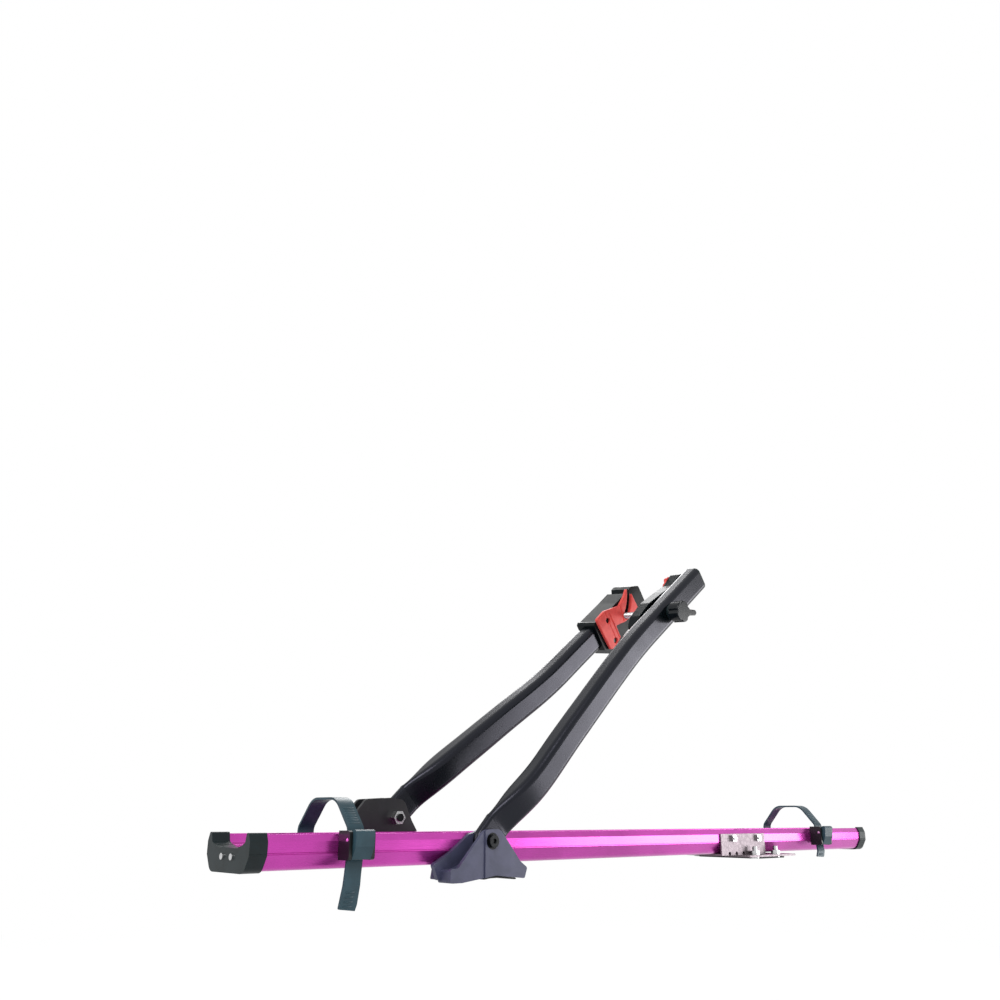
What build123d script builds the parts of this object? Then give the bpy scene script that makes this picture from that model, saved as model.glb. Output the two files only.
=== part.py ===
from build123d import *
import math
import os

# A wheel-tray bike carrier for the roof of a car.
# Millimetres. +X runs to the rear of the tray, +Y to its far side, +Z up.
# The origin lies on the tray's middle plane, under the pivot of the near arm,
# on the flat underside that rests on the front cross bar.

# Running values shared by every piece.
CUT_OVERRUN = 5.0
FIT_GAP = 0.3
PIN_GAP = 0.05
SEAT_GAP = 0.2
EDGE_BREAK = 0.6
M10 = 10.0
M8 = 8.0
M6 = 6.0
HEX_SHARE = 1.6
NUT_HEIGHT_SHARE = 0.8

# Wheel tray: one extrusion with hollow side lobes.
TRAY_LENGTH = 1350.0
TRAY_FRONT = 327.5
TRAY_WIDTH = 94.0
TRAY_DEPTH = 38.5
TRAY_TOP = 58.5
TRAY_WALL = 2.2
TRAY_CORNER = 10.0
TRAY_WEB_SPAN = 22.0
SLOT_WIDTH = 8.6
SLOT_CHAMBER_HEIGHT = 8.4
TRAY_BOTTOM = TRAY_TOP - TRAY_DEPTH
TRAY_HALF = TRAY_WIDTH / 2
# Half of the outline: share of the half width, share of the depth, share of the corner radius.
TRAY_SIDE_SHARES = [
    (0.798, 0.000, 1.00),
    (1.000, 0.442, 0.00),
    (0.983, 0.458, 0.00),
    (0.983, 0.484, 0.00),
    (1.000, 0.500, 0.00),
    (1.000, 0.792, 0.20),
    (0.926, 1.000, 0.05),
    (0.894, 0.995, 0.05),
    (0.845, 0.753, 0.30),
    (0.698, 0.665, 0.40),
    (0.462, 0.584, 0.60),
]

# End caps.
CAP_LENGTH = 22.0
CAP_WALL = 1.8
CAP_END_WALL = 2.0
CAP_SCREW_SPREAD = 22.0
CAP_SCREW_HEIGHT = 15.0
CAP_SCREW_DIAMETER = 3.5
CAP_SCREW_HEAD = 7.0
CAP_SCREW_HEAD_HEIGHT = 1.8

# Near foot.
PIVOT_HEIGHT = 48.1
FOOT_REACH = 68.0
CHEEK_FACE = 72.0
CHEEK_THICKNESS = 5.0
CHEEK_STEP = 1.5
CHEEK_STEP_X = -12.3
SLOT_INNER_Y = 53.2
FOOT_SHELF_Y = 27.0
FOOT_CORNER = 14.0
SHELF_TOP = 17.0
CHEEK_SHARES = [
    (-0.994, 0.000, 0.20),
    (-1.001, 0.345, 0.20),
    (-0.822, 0.351, 0.30),
    (-0.170, 1.290, 1.00),
    (0.200, 1.300, 1.00),
    (0.712, 0.480, 0.40),
    (0.900, 0.310, 0.20),
    (0.829, 0.040, 0.20),
    (0.085, 0.141, 0.60),
    (-0.185, 0.091, 0.20),
    (-0.726, 0.000, 0.10),
]
WALL_SHARES = [
    (-1.059, 0.069, 0.20),
    (-1.185, 0.441, 0.20),
    (-0.771, 0.736, 0.40),
    (-0.324, 1.170, 0.40),
    (0.000, 1.300, 0.60),
    (0.260, 1.200, 0.60),
    (0.712, 0.480, 0.40),
    (0.900, 0.310, 0.20),
    (0.829, 0.040, 0.20),
    (0.085, 0.141, 0.60),
    (-0.185, 0.091, 0.20),
    (-0.726, 0.030, 0.10),
]
CORE_SHARES = [
    (-0.994, 0.000, 0.20),
    (-1.001, 0.320, 0.20),
    (-0.760, 0.340, 0.20),
    (-0.330, 0.540, 0.40),
    (0.520, 0.540, 0.40),
    (0.712, 0.400, 0.30),
    (0.900, 0.290, 0.20),
    (0.829, 0.040, 0.20),
    (0.085, 0.141, 0.60),
    (-0.185, 0.091, 0.20),
    (-0.726, 0.000, 0.10),
]
SHELF_SHARES = [
    (-0.940, 0.069, 0.10),
    (-0.900, 0.353, 0.10),
    (0.840, 0.353, 0.10),
    (0.829, 0.040, 0.10),
    (0.085, 0.141, 0.60),
    (-0.185, 0.091, 0.20),
    (-0.726, 0.030, 0.10),
]
PAD_SHARES = [
    (-0.165, 0.045, 0.05),
    (-0.165, 0.090, 0.05),
    (0.085, 0.134, 0.60),
    (0.650, 0.060, 0.05),
    (0.650, 0.015, 0.05),
    (0.085, 0.089, 0.60),
]
PAD_SIDE_INSET = 2.0
CLAMP_HOLE_DIAMETER = 8.5
CLAMP_HOLE_FRONT = 57.0
CLAMP_HOLE_REAR = 51.0

# Cross plate, bar block and slot bolts under the tray.
PLATE_THICKNESS = 3.0
PLATE_FRONT_X = -2.0
PLATE_REAR_X = 54.0
PLATE_NEAR_Y = -46.0
PLATE_FAR_Y = 26.0
PLATE_CORNER = 4.0
BLOCK_FRONT_X = -20.0
BLOCK_HALF_Y = 24.0
BLOCK_CORNER = 5.0
SLOT_BOLT_FRONT = 9.0
SLOT_BOLT_PITCH = 34.0
SLOT_HEAD_WIDTH = 15.0
SLOT_HEAD_HEIGHT = 4.5
SLOT_BOLT_TAIL = 4.0
NUT_POCKET_GAP = 1.5
PLATE_SCREW_Y = -36.0
PLATE_SCREW_LENGTH = 13.0

# Arms.
ARM_WIDTH = 40.0
ARM_DEPTH = 30.0
ARM_WALL = 2.0
ARM_CORNER = 9.0
TONGUE_DEPTH = 13.0
ARM_STATIONS = 12
BLEND_STATIONS = 2
EYE_STEP = 0.25
EYE_LAP = 3.0
TONGUE_CORNER = 6.0
NEAR_TONGUE_LENGTH = 24.0
HEAD_ANGLE = 40.0
BUSH_WALL = 2.5

NEAR_PIVOT_X = 0.0
NEAR_PIVOT_Y = -60.2
NEAR_TILT = 5.2
NEAR_REACH = 355.1
NEAR_RISE = 345.4
NEAR_TOP = 105.0
NEAR_STRAIGHT = 62.0
# Middle of the tube from pivot to clamp: share of the reach, share of the rise.
NEAR_LINE_SHARES = [
    (0.156, 0.148),
    (0.246, 0.228),
    (0.352, 0.346),
    (0.503, 0.513),
    (0.678, 0.702),
]
NEAR_START_ANGLE = 46.0

FAR_PIVOT_X = -66.0
FAR_PIVOT_Y = 56.0
FAR_PIVOT_HEIGHT = 76.0
FAR_TILT = 7.6
FAR_REACH = NEAR_REACH + NEAR_PIVOT_X - FAR_PIVOT_X
FAR_RISE = 330.7
FAR_TOP = 54.0
FAR_STRAIGHT = 90.0
FAR_TONGUE_LENGTH = 38.0
FAR_LINE_SHARES = [
    (0.210, 0.220),
    (0.315, 0.315),
    (0.475, 0.460),
    (0.640, 0.610),
]
FAR_START_ANGLE = 42.0
FAR_TONGUE_DEPTH = 12.0
FAR_TONGUE_CORNER = 5.5
PLUG_LENGTH = 7.0
PLUG_SPIGOT = 12.0
PLUG_WALL = 2.0
PLUG_ROUND = 5.0

# Pivots.
PIVOT_HEAD_DIAMETER = 16.0
PIVOT_HEAD_HEIGHT = 4.0
SOCKET_ACROSS = 6.0
SOCKET_DEPTH = 2.5
WASHER_DIAMETER = 20.0
WASHER_THICKNESS = 1.5
WASHER_RECESS_GAP = 0.5

# Far bracket.
BRACKET_EAR = 4.5
BRACKET_SIDE_GAP = 0.5
BRACKET_REACH = 62.0
BRACKET_CORNER = 14.0
BRACKET_FLOOR_SHARES = [
    (-1.000, -0.711, 0.40),
    (-1.000, 0.000, 0.40),
    (-0.430, -0.300, 0.40),
    (0.420, -0.300, 0.40),
    (0.860, -0.560, 0.40),
    (0.860, -0.711, 0.40),
]
BRACKET_EAR_SHARES = [
    (-1.000, -0.711, 0.40),
    (-1.000, 0.120, 0.60),
    (-0.800, 0.300, 0.60),
    (-0.160, 0.330, 0.60),
    (0.200, 0.300, 0.90),
    (0.420, -0.050, 0.60),
    (0.860, -0.560, 0.40),
    (0.860, -0.711, 0.40),
]
BRACKET_SCREW_SHARES = [-0.78, 0.62]
BRACKET_SCREW_DROP = 33.0

# Clamp jaws.
ROD_DIAMETER = M10
ROD_PLAY = 0.6
HEAD_SPACING = 104.4
NUT_LIFT_GAP = 1.6
JAW_BACK = 34.0
JAW_WALL = 3.0
JAW_REACH = 105.0
JAW_HALF = 20.0
JAW_CORNER = 10.0
NEAR_JAW_SHARES = [
    (-0.524, -0.700, 0.90),
    (-0.524, 0.450, 0.90),
    (-0.380, 0.950, 0.90),
    (-0.050, 1.150, 1.00),
    (0.360, 0.900, 1.00),
    (0.610, 0.700, 1.00),
    (0.900, 0.950, 0.60),
    (1.000, 0.600, 0.60),
    (1.000, -0.700, 0.60),
    (0.570, -0.950, 1.00),
    (0.000, -1.000, 1.00),
]
NEAR_JAW_SCREW_SHARES = [-0.380, 0.790]
JAW_SCREW_BOSS = 9.0
JAW_SCREW_DIAMETER = 5.0
JAW_SCREW_LENGTH = 16.0
JAW_SCREW_HEAD = 9.0
JAW_SCREW_HEAD_HEIGHT = 2.4
NEAR_PAD_DEPTH = 6.0
NEAR_PAD_SHARES = [
    (-0.440, -0.650, 0.90),
    (-0.440, 0.350, 0.90),
    (-0.060, 0.800, 1.00),
    (0.340, 0.650, 1.00),
    (0.640, 0.500, 0.60),
    (0.780, 0.980, 0.40),
    (0.880, 0.900, 0.50),
    (0.900, -0.500, 0.50),
    (0.500, -0.900, 1.00),
    (0.000, -0.900, 1.00),
]
PAD_RIB_PITCH = 12.0
PAD_RIB_DEPTH = 1.6
PAD_RIB_WIDTH = 4.0
FAR_JAW_REACH = 80.0
FAR_JAW_HALF = 27.0
FAR_JAW_NEAR_FACE = 20.0
FAR_JAW_OUTER_FACE = 19.0
FAR_JAW_SHARES = [
    (-0.900, -0.900, 0.30),
    (-0.900, 0.920, 0.30),
    (-0.840, 1.020, 0.20),
    (-0.780, 0.930, 0.20),
    (-0.080, 0.980, 0.60),
    (0.560, 1.080, 0.60),
    (0.760, 0.760, 0.60),
    (0.760, -0.760, 0.60),
    (0.250, -0.890, 0.60),
    (-0.375, -1.110, 0.60),
    (-0.510, -1.500, 0.50),
    (-0.720, -1.500, 0.50),
    (-0.800, -1.080, 0.40),
]
FAR_PAD_DEPTH = 5.4
FAR_PAD_SHARES = [
    (-0.840, 1.200, 0.30),
    (-0.540, 1.260, 0.40),
    (-0.075, 0.800, 0.40),
    (0.175, 1.050, 0.30),
    (0.312, 1.300, 0.20),
    (0.400, 1.150, 0.20),
    (0.425, -0.330, 0.40),
    (-0.080, -0.330, 0.30),
    (-0.390, -0.060, 0.20),
    (-0.400, -0.890, 0.20),
    (-0.700, -1.120, 0.30),
    (-0.800, -1.000, 0.30),
]
FORK_SWING = 60.0
FAR_PAD_SCREW_SHARES = [(-0.575, -0.780), (-0.550, 0.600)]

# Clamp rod, nut and knob.
BOSS_LENGTH = 6.5
BOSS_DIAMETER = 26.0
KNOB_START = 22.3
KNOB_DEPTH = 18.0
KNOB_DIAMETER = 34.0
KNOB_LOBES = 5
KNOB_SCALLOP_DIAMETER = 11.0
KNOB_SCALLOP_RING = 41.0
KNOB_WING_LENGTH = 17.0
KNOB_WING_WIDTH = 9.0
KNOB_ROUND = 1.5
INSERT_DIAMETER = 16.0
INSERT_DEPTH = 12.0
NUT_PLATE_LENGTH = 26.0
NUT_PLATE_WIDTH = 18.0
NUT_PLATE_DEPTH = 8.0
NUT_PLATE_CORNER = 4.0
ROD_SPARE = 30.0

# Wheel straps.
STRAP_WIDTH = 22.0
STRAP_DEPTH = 2.6
FRONT_STRAP_INSET = 129.5
REAR_STRAP_INSET = 185.5
FRONT_STRAP_X = FRONT_STRAP_INSET - TRAY_FRONT
REAR_STRAP_X = TRAY_LENGTH - TRAY_FRONT - REAR_STRAP_INSET
STRAP_TOP = 100.5
STRAP_SIDE = 57.0
STRAP_CROWN = 26.0
FRONT_TAIL_BOTTOM = -24.0
REAR_TAIL_BOTTOM = 9.0
TAIL_SWING = 4.0
# Outline of a strap's tail below its buckle: share of the strap's width, share of the tail's length.
TAIL_SHARES = [
    (-0.500, 1.000, 0.00),
    (0.500, 1.000, 0.00),
    (0.360, 0.700, 0.60),
    (0.140, 0.120, 0.15),
    (0.020, 0.000, 0.05),
    (-0.980, 0.050, 0.15),
    (-0.640, 0.700, 0.60),
]
BUCKLE_WIDTH = 36.0
BUCKLE_CHEEK = 4.5
BUCKLE_BACK = 3.0
BUCKLE_TOP = 62.0
BUCKLE_BOTTOM = 30.0
BUCKLE_REACH = 22.0
BUCKLE_CORNER = 4.0
LEVER_PIN_DIAMETER = 4.0
LEVER_PIN_HEIGHT = 52.0
LEVER_PIN_REACH = 17.5
LEVER_GAP = 0.5
LEVER_SHARES = [
    (-0.250, 0.150, 0.40),
    (0.350, 0.580, 0.60),
    (0.560, 0.450, 0.60),
    (0.500, -0.360, 0.40),
    (0.180, -1.060, 0.30),
    (0.020, -1.060, 0.30),
    (-0.120, -0.330, 0.40),
]
LEVER_SIZE = 20.0
ANCHOR_HEIGHT = 22.0
ANCHOR_BOTTOM = 34.0
ANCHOR_PIN_HEIGHT = 50.0
ANCHOR_PIN_DIAMETER = 4.0

# Rear bar bracket.
REAR_PLATE_INSET = 490.0
REAR_PLATE_FRONT = TRAY_LENGTH - TRAY_FRONT - REAR_PLATE_INSET
REAR_PLATE_LENGTH = 129.0
REAR_PLATE_TOP = 51.5
REAR_PLATE_THICKNESS = 2.5
REAR_FLANGE_WIDTH = 36.0
REAR_BOLT_FIRST = 33.0
REAR_BOLT_PITCH = 73.0
REAR_BOLT_HEIGHT = 44.4
REAR_SADDLE_STEP = 47.5
REAR_SADDLE_FRONT = REAR_PLATE_FRONT + REAR_SADDLE_STEP
REAR_SADDLE_LENGTH = 146.0
REAR_BOLT_CLEARANCE = 9.5
REAR_EDGE_INSET = 11.0
REAR_BOLT_ACROSS = TRAY_HALF + REAR_PLATE_THICKNESS + REAR_BOLT_CLEARANCE
REAR_SADDLE_WIDTH = (REAR_BOLT_ACROSS + REAR_EDGE_INSET) * 2
REAR_SADDLE_THICKNESS = 3.0
REAR_SCALLOPS = 5
REAR_SCALLOP_DIAMETER = 7.0
REAR_SCALLOP_PITCH = 20.0
REAR_BOLT_HEAD = 7.8
REAR_BOLT_HEAD_HEIGHT = 1.8
REAR_PAD_BOLT_FRONT = 34.5
REAR_PAD_BOLT_PITCH = 63.0
REAR_PAD_BOLT_TOP = 31.0
REAR_PAD_BOLT_HEAD = 13.0
REAR_PAD_BOLT_HEAD_HEIGHT = 2.2
REAR_PAD_THICKNESS = 3.0
REAR_PAD_LENGTH = 86.0
REAR_PAD_INSET = 4.0


def spread(table, width, height):
    """Points of a share table at a real width and height."""
    return [(x * width, y * height) for x, y, _ in table]


def plate(table, width, height, corner, depth, inset=0):
    """A slab along local +Z whose outline is a share table with rounded corners."""
    radii = [share * corner for _, _, share in table]
    face = make_face(FilletPolyline(*spread(table, width, height), radius=radii, close=True))
    if inset:
        face = offset(face, amount=-inset, kind=Kind.INTERSECTION)
    return extrude(face, depth)


def box(x0, x1, y0, y1, z0, z1):
    """A block between two corners."""
    middle = ((x0 + x1) / 2, (y0 + y1) / 2, (z0 + z1) / 2)
    return Pos(*middle) * Box(abs(x1 - x0), abs(y1 - y0), abs(z1 - z0))


def rod(place, diameter, length):
    """A round bar that starts on a place and runs along its local +Z."""
    return place * (Pos(0, 0, length / 2) * Cylinder(diameter / 2, length))


def hexagon(place, across, length):
    """A six-sided bar that starts on a place and runs along its local +Z."""
    return place * extrude(RegularPolygon(across / 2, 6, major_radius=False), length)


def square(place, across, length, corner):
    """A four-sided bar with rounded corners along local +Z."""
    return place * extrude(RectangleRounded(across, across, corner), length)


def toward_near(x, y, z):
    """A place whose local +Z looks to the near side and local +X to the rear."""
    return Plane(origin=(x, y, z), x_dir=(1, 0, 0), z_dir=(0, -1, 0)).location


def toward_far(x, y, z):
    """A place whose local +Z looks to the far side and local +X to the front."""
    return Plane(origin=(x, y, z), x_dir=(-1, 0, 0), z_dir=(0, 1, 0)).location


def side_slab(table, width, height, corner, y_near, y_far, x=0, z=0):
    """A slab between two Y values, outlined in X and Z about a point."""
    slab = plate(table, width, height, corner, abs(y_far - y_near))
    return toward_near(x, max(y_near, y_far), z) * slab


def save(name, shape):
    """Write one node."""
    export_step(shape, "parts/" + name + ".step")


def tray_outline():
    """Closed outline of the tray, hollows left out, in local Y and Z."""
    side = [(y * TRAY_HALF, z * TRAY_DEPTH + TRAY_BOTTOM) for y, z, _ in TRAY_SIDE_SHARES]
    radii = [share * TRAY_CORNER for _, _, share in TRAY_SIDE_SHARES]
    other = [(-y, z) for y, z in reversed(side)]
    line = FilletPolyline(*(side + other), radius=radii + radii[::-1], close=True)
    return make_face(line)


def along_tray(x, face, length):
    """Extrude a face drawn in Y and Z from x toward the rear."""
    ends = Plane(origin=(x, 0, 0), x_dir=(0, 1, 0), z_dir=(1, 0, 0)).location
    return ends * extrude(face, length)


def wheel_tray():
    """The long channel with hollow lobes, two webs and a slot for bolts in its floor."""
    outside = tray_outline()
    hollow = offset(outside, amount=-TRAY_WALL, kind=Kind.INTERSECTION)
    low = TRAY_BOTTOM + TRAY_WALL
    roof = low + SLOT_CHAMBER_HEIGHT
    for side in (-1, 1):
        web = Rectangle(TRAY_WALL, TRAY_DEPTH)
        hollow -= Pos(side * TRAY_WEB_SPAN / 2, TRAY_BOTTOM + TRAY_DEPTH / 2) * web
    roof_strip = Rectangle(TRAY_WEB_SPAN, TRAY_WALL)
    hollow -= Pos(0, roof + TRAY_WALL / 2) * roof_strip
    slot = Pos(0, TRAY_BOTTOM) * Rectangle(SLOT_WIDTH, TRAY_WALL + CUT_OVERRUN)
    tray = along_tray(-TRAY_FRONT, outside - hollow - slot, TRAY_LENGTH)
    for x in (REAR_PLATE_FRONT + REAR_BOLT_FIRST, REAR_PLATE_FRONT + REAR_BOLT_FIRST + REAR_BOLT_PITCH):
        for side in (-1, 1):
            y = side * (TRAY_HALF + CUT_OVERRUN)
            place = toward_far(x, y, REAR_BOLT_HEIGHT) if side < 0 else toward_near(x, y, REAR_BOLT_HEIGHT)
            tray -= rod(place, M6 + SEAT_GAP, TRAY_WALL + CUT_OVERRUN * 2)
    for x in bracket_screw_places():
        place = toward_near(x, TRAY_HALF + CUT_OVERRUN, bracket_screw_height())
        tray -= rod(place, M6 + SEAT_GAP, TRAY_WALL + CUT_OVERRUN * 2)
    return tray


def end_cap(front):
    """A moulded cap that grips the tray's end inside and out and closes its hollows."""
    skin = offset(tray_outline(), amount=CAP_WALL, kind=Kind.ARC)
    pocket = offset(tray_outline(), amount=SEAT_GAP / 2, kind=Kind.ARC)
    cap = along_tray(0, skin, CAP_LENGTH)
    cap -= along_tray(CAP_END_WALL, pocket, CAP_LENGTH)
    for side in (-1, 1):
        y = side * CAP_SCREW_SPREAD / 2
        z = TRAY_BOTTOM + CAP_SCREW_HEIGHT
        place = Plane(origin=(0, y, z), x_dir=(0, 1, 0), z_dir=(1, 0, 0)).location
        cap -= rod(place, CAP_SCREW_DIAMETER + SEAT_GAP, CAP_LENGTH)
    if front:
        return Pos(-TRAY_FRONT - CAP_END_WALL, 0, 0) * cap
    turn = Rot(0, 0, 180)
    return Pos(TRAY_LENGTH - TRAY_FRONT + CAP_END_WALL, 0, 0) * turn * cap


def cap_screws():
    """Four pan-head screws, two in each cap, that bite in the tray's webs."""
    screws = []
    for side in (-1, 1):
        y = side * CAP_SCREW_SPREAD / 2
        z = TRAY_BOTTOM + CAP_SCREW_HEIGHT
        for x, way in ((-TRAY_FRONT - CAP_END_WALL, 1), (TRAY_LENGTH - TRAY_FRONT + CAP_END_WALL, -1)):
            out = Plane(origin=(x, y, z), x_dir=(0, 1, 0), z_dir=(-way, 0, 0)).location
            head = rod(out, CAP_SCREW_HEAD, CAP_SCREW_HEAD_HEIGHT)
            inward = Plane(origin=(x, y, z), x_dir=(0, 1, 0), z_dir=(way, 0, 0)).location
            screws.append(head + rod(inward, CAP_SCREW_DIAMETER, CAP_END_WALL))
    return Compound(screws)


def slot_bolt_places():
    """X of the two bolts that hang in the tray's slot."""
    return [SLOT_BOLT_FRONT, SLOT_BOLT_FRONT + SLOT_BOLT_PITCH]


def foot_body():
    """The moulded near foot: outer cheek, arm slot, inner wall and the shelf under the tray."""
    slot_near = -CHEEK_FACE + CHEEK_THICKNESS
    wall_far = -TRAY_HALF - FIT_GAP
    size = (FOOT_REACH, PIVOT_HEIGHT, FOOT_CORNER)
    foot = side_slab(CORE_SHARES, *size, -CHEEK_FACE, wall_far)
    foot += side_slab(CHEEK_SHARES, *size, -CHEEK_FACE, slot_near)
    foot += side_slab(WALL_SHARES, *size, -SLOT_INNER_Y, wall_far)
    foot += side_slab(SHELF_SHARES, *size, -SLOT_INNER_Y, -FOOT_SHELF_Y)
    proud = side_slab(CHEEK_SHARES, *size, -CHEEK_FACE - CHEEK_STEP, -CHEEK_FACE)
    trim = box(CHEEK_STEP_X, FOOT_REACH, -CHEEK_FACE - CHEEK_STEP, -CHEEK_FACE, 0, PIVOT_HEIGHT * 2)
    foot += proud & trim
    top = SHELF_TOP + FIT_GAP
    room = box(PLATE_FRONT_X - FIT_GAP, PLATE_REAR_X + FIT_GAP, PLATE_NEAR_Y - FIT_GAP, 0, SHELF_TOP, TRAY_BOTTOM)
    foot -= room
    foot -= box(BLOCK_FRONT_X - FIT_GAP, FOOT_REACH, -BLOCK_HALF_Y - FIT_GAP, 0, -CUT_OVERRUN, top)
    bore = toward_far(NEAR_PIVOT_X, -CHEEK_FACE - CUT_OVERRUN, PIVOT_HEIGHT)
    foot -= rod(bore, M10 + PIN_GAP * 2, CHEEK_FACE)
    sink = toward_far(NEAR_PIVOT_X, -CHEEK_FACE - CUT_OVERRUN, PIVOT_HEIGHT)
    foot -= rod(sink, WASHER_DIAMETER + WASHER_RECESS_GAP, CUT_OVERRUN)
    for x in (-CLAMP_HOLE_FRONT, CLAMP_HOLE_REAR):
        hole = Pos(x, NEAR_PIVOT_Y, -CUT_OVERRUN)
        foot -= rod(hole, CLAMP_HOLE_DIAMETER, PIVOT_HEIGHT)
    for x in slot_bolt_places():
        foot -= rod(Pos(x, PLATE_SCREW_Y, 0), M6 - SEAT_GAP, PIVOT_HEIGHT)
    return foot


def foot_saddle_pad():
    """Rubber under the foot's arch that grips the cross bar."""
    near = -CHEEK_FACE + PAD_SIDE_INSET
    return side_slab(PAD_SHARES, FOOT_REACH, PIVOT_HEIGHT, FOOT_CORNER, near, -FOOT_SHELF_Y - PAD_SIDE_INSET)


def foot_cross_plate():
    """Zinc plate under the tray that ties the foot to the slot bolts."""
    length = PLATE_REAR_X - PLATE_FRONT_X
    width = PLATE_FAR_Y - PLATE_NEAR_Y
    middle = Pos((PLATE_REAR_X + PLATE_FRONT_X) / 2, (PLATE_FAR_Y + PLATE_NEAR_Y) / 2, SHELF_TOP)
    piece = middle * extrude(RectangleRounded(length, width, PLATE_CORNER), PLATE_THICKNESS)
    for x in slot_bolt_places():
        piece -= rod(Pos(x, 0, 0), M8 + SEAT_GAP, TRAY_TOP)
        piece -= rod(Pos(x, PLATE_SCREW_Y, 0), M6 + SEAT_GAP, TRAY_TOP)
        sink = Pos(x, PLATE_SCREW_Y, SHELF_TOP + PLATE_THICKNESS / 2)
        piece -= sink * Cone(M6 / 2 + PIN_GAP * 2, M6 + PIN_GAP * 2, PLATE_THICKNESS)
    return piece


def front_bar_block():
    """Moulded block under the tray's middle; its flat underside rests on the cross bar."""
    length = PLATE_REAR_X - BLOCK_FRONT_X
    middle = Pos((PLATE_REAR_X + BLOCK_FRONT_X) / 2, 0, 0)
    block = middle * extrude(RectangleRounded(length, BLOCK_HALF_Y * 2, BLOCK_CORNER), SHELF_TOP)
    pocket = M8 * HEX_SHARE + NUT_POCKET_GAP * 2
    depth = M8 * NUT_HEIGHT_SHARE + SLOT_BOLT_TAIL
    for x in slot_bolt_places():
        block -= rod(Pos(x, 0, SHELF_TOP - depth - NUT_POCKET_GAP), pocket * 2 / math.sqrt(3), SHELF_TOP)
    return block


def slot_bolts():
    """Two square-head bolts in the tray's slot, through the cross plate."""
    bolts = []
    low = TRAY_BOTTOM + TRAY_WALL
    bottom = SHELF_TOP - M8 * NUT_HEIGHT_SHARE - SLOT_BOLT_TAIL
    for x in slot_bolt_places():
        head = square(Pos(x, 0, low + PIN_GAP), SLOT_HEAD_WIDTH, SLOT_HEAD_HEIGHT, EDGE_BREAK)
        bolts.append(head + rod(Pos(x, 0, bottom), M8, low + PIN_GAP - bottom))
    return Compound(bolts)


def slot_nuts():
    """Nuts on the slot bolts, drawn up against the cross plate."""
    height = M8 * NUT_HEIGHT_SHARE
    nuts = []
    for x in slot_bolt_places():
        nut = hexagon(Pos(x, 0, SHELF_TOP - height), M8 * HEX_SHARE, height)
        nuts.append(nut - rod(Pos(x, 0, 0), M8, TRAY_TOP))
    return Compound(nuts)


def plate_screws():
    """Countersunk screws that hold the cross plate on the foot's shelf."""
    screws = []
    for x in slot_bolt_places():
        bottom = SHELF_TOP + PLATE_THICKNESS - PLATE_SCREW_LENGTH
        shank = rod(Pos(x, PLATE_SCREW_Y, bottom), M6 - SEAT_GAP, PLATE_SCREW_LENGTH)
        head = Pos(x, PLATE_SCREW_Y, SHELF_TOP + PLATE_THICKNESS / 2)
        screws.append(shank + head * Cone(M6 / 2, M6, PLATE_THICKNESS))
    return Compound(screws)


def bend_stations(line_shares, reach, rise, start_angle, tongue, straight):
    """Even stations along an arm's middle line up to its straight head: point and angle."""
    first = math.radians(start_angle)
    head = math.radians(HEAD_ANGLE)
    points = [(tongue * math.cos(first), tongue * math.sin(first))]
    points += [(x * reach, y * rise) for x, y in line_shares]
    points.append((reach - straight * math.cos(head), rise - straight * math.sin(head)))
    ends = [(math.cos(first), math.sin(first)), (math.cos(head), math.sin(head))]
    line = Spline(*points, tangents=ends)
    stations = []
    for i in range(ARM_STATIONS + 1):
        at = i / ARM_STATIONS
        place, way = line @ at, line % at
        stations.append((place.X, place.Y, math.degrees(math.atan2(way.Y, way.X))))
    return stations


def tube_section(frame, station, width, depth, corner):
    """A rounded rectangle square to an arm's middle line, in a frame's plane."""
    x, y, angle = station
    turn = math.radians(angle)
    along = (math.cos(turn), math.sin(turn), 0)
    across = (-math.sin(turn), math.cos(turn), 0)
    face = RectangleRounded(width, depth, corner)
    return frame * Plane(origin=(x, y, 0), x_dir=across, z_dir=along).location * face


def bent_arm(straight, leaned, stations, tongue_depth, tongue_corner, bore, head_length):
    """A hollow bent tube with a straight head, pressed flat to an upright round eye at its low end."""
    outer, inner = [], []
    for i, station in enumerate(stations):
        blend = min(1, i / BLEND_STATIONS)
        depth = tongue_depth + (ARM_DEPTH - tongue_depth) * blend
        corner = tongue_corner + (ARM_CORNER - tongue_corner) * blend
        outer.append(tube_section(leaned if i else straight, station, ARM_WIDTH, depth, corner))
        if blend == 1:
            size = (ARM_WIDTH - ARM_WALL * 2, ARM_DEPTH - ARM_WALL * 2, ARM_CORNER - ARM_WALL)
            inner.append(tube_section(leaned, station, *size))
    ahead = Plane(outer[-1].faces()[0]).z_dir * head_length
    head = extrude(outer[-1], head_length, dir=ahead) - extrude(inner[-1], head_length, dir=ahead)
    tube = loft(outer) - loft(inner) + head
    eye_angle = math.radians(stations[0][2])
    across = (-math.sin(eye_angle), math.cos(eye_angle), 0)
    along = (math.cos(eye_angle), math.sin(eye_angle), 0)
    wide = ARM_WIDTH - EYE_STEP * 2
    thick = tongue_depth - EYE_STEP * 2
    face = RectangleRounded(wide, thick, tongue_corner - EYE_STEP)
    base = Plane(origin=(0, 0, 0), x_dir=across, z_dir=along).location
    length = math.hypot(stations[0][0], stations[0][1]) + EYE_LAP
    tongue = base * extrude(face, length)
    half = face & Pos(wide / 4, 0) * Rectangle(wide / 2, thick)
    eye = revolve(base * half, axis=Axis.Z, revolution_arc=180)
    eye_other = revolve(base * half, axis=Axis.Z, revolution_arc=-180)
    round_end = eye if eye.center().dot(Vector(*along)) < 0 else eye_other
    arm = tube + straight * (tongue + round_end)
    return arm - rod(straight * Pos(0, 0, -ARM_DEPTH), bore, ARM_DEPTH * 2)


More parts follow.
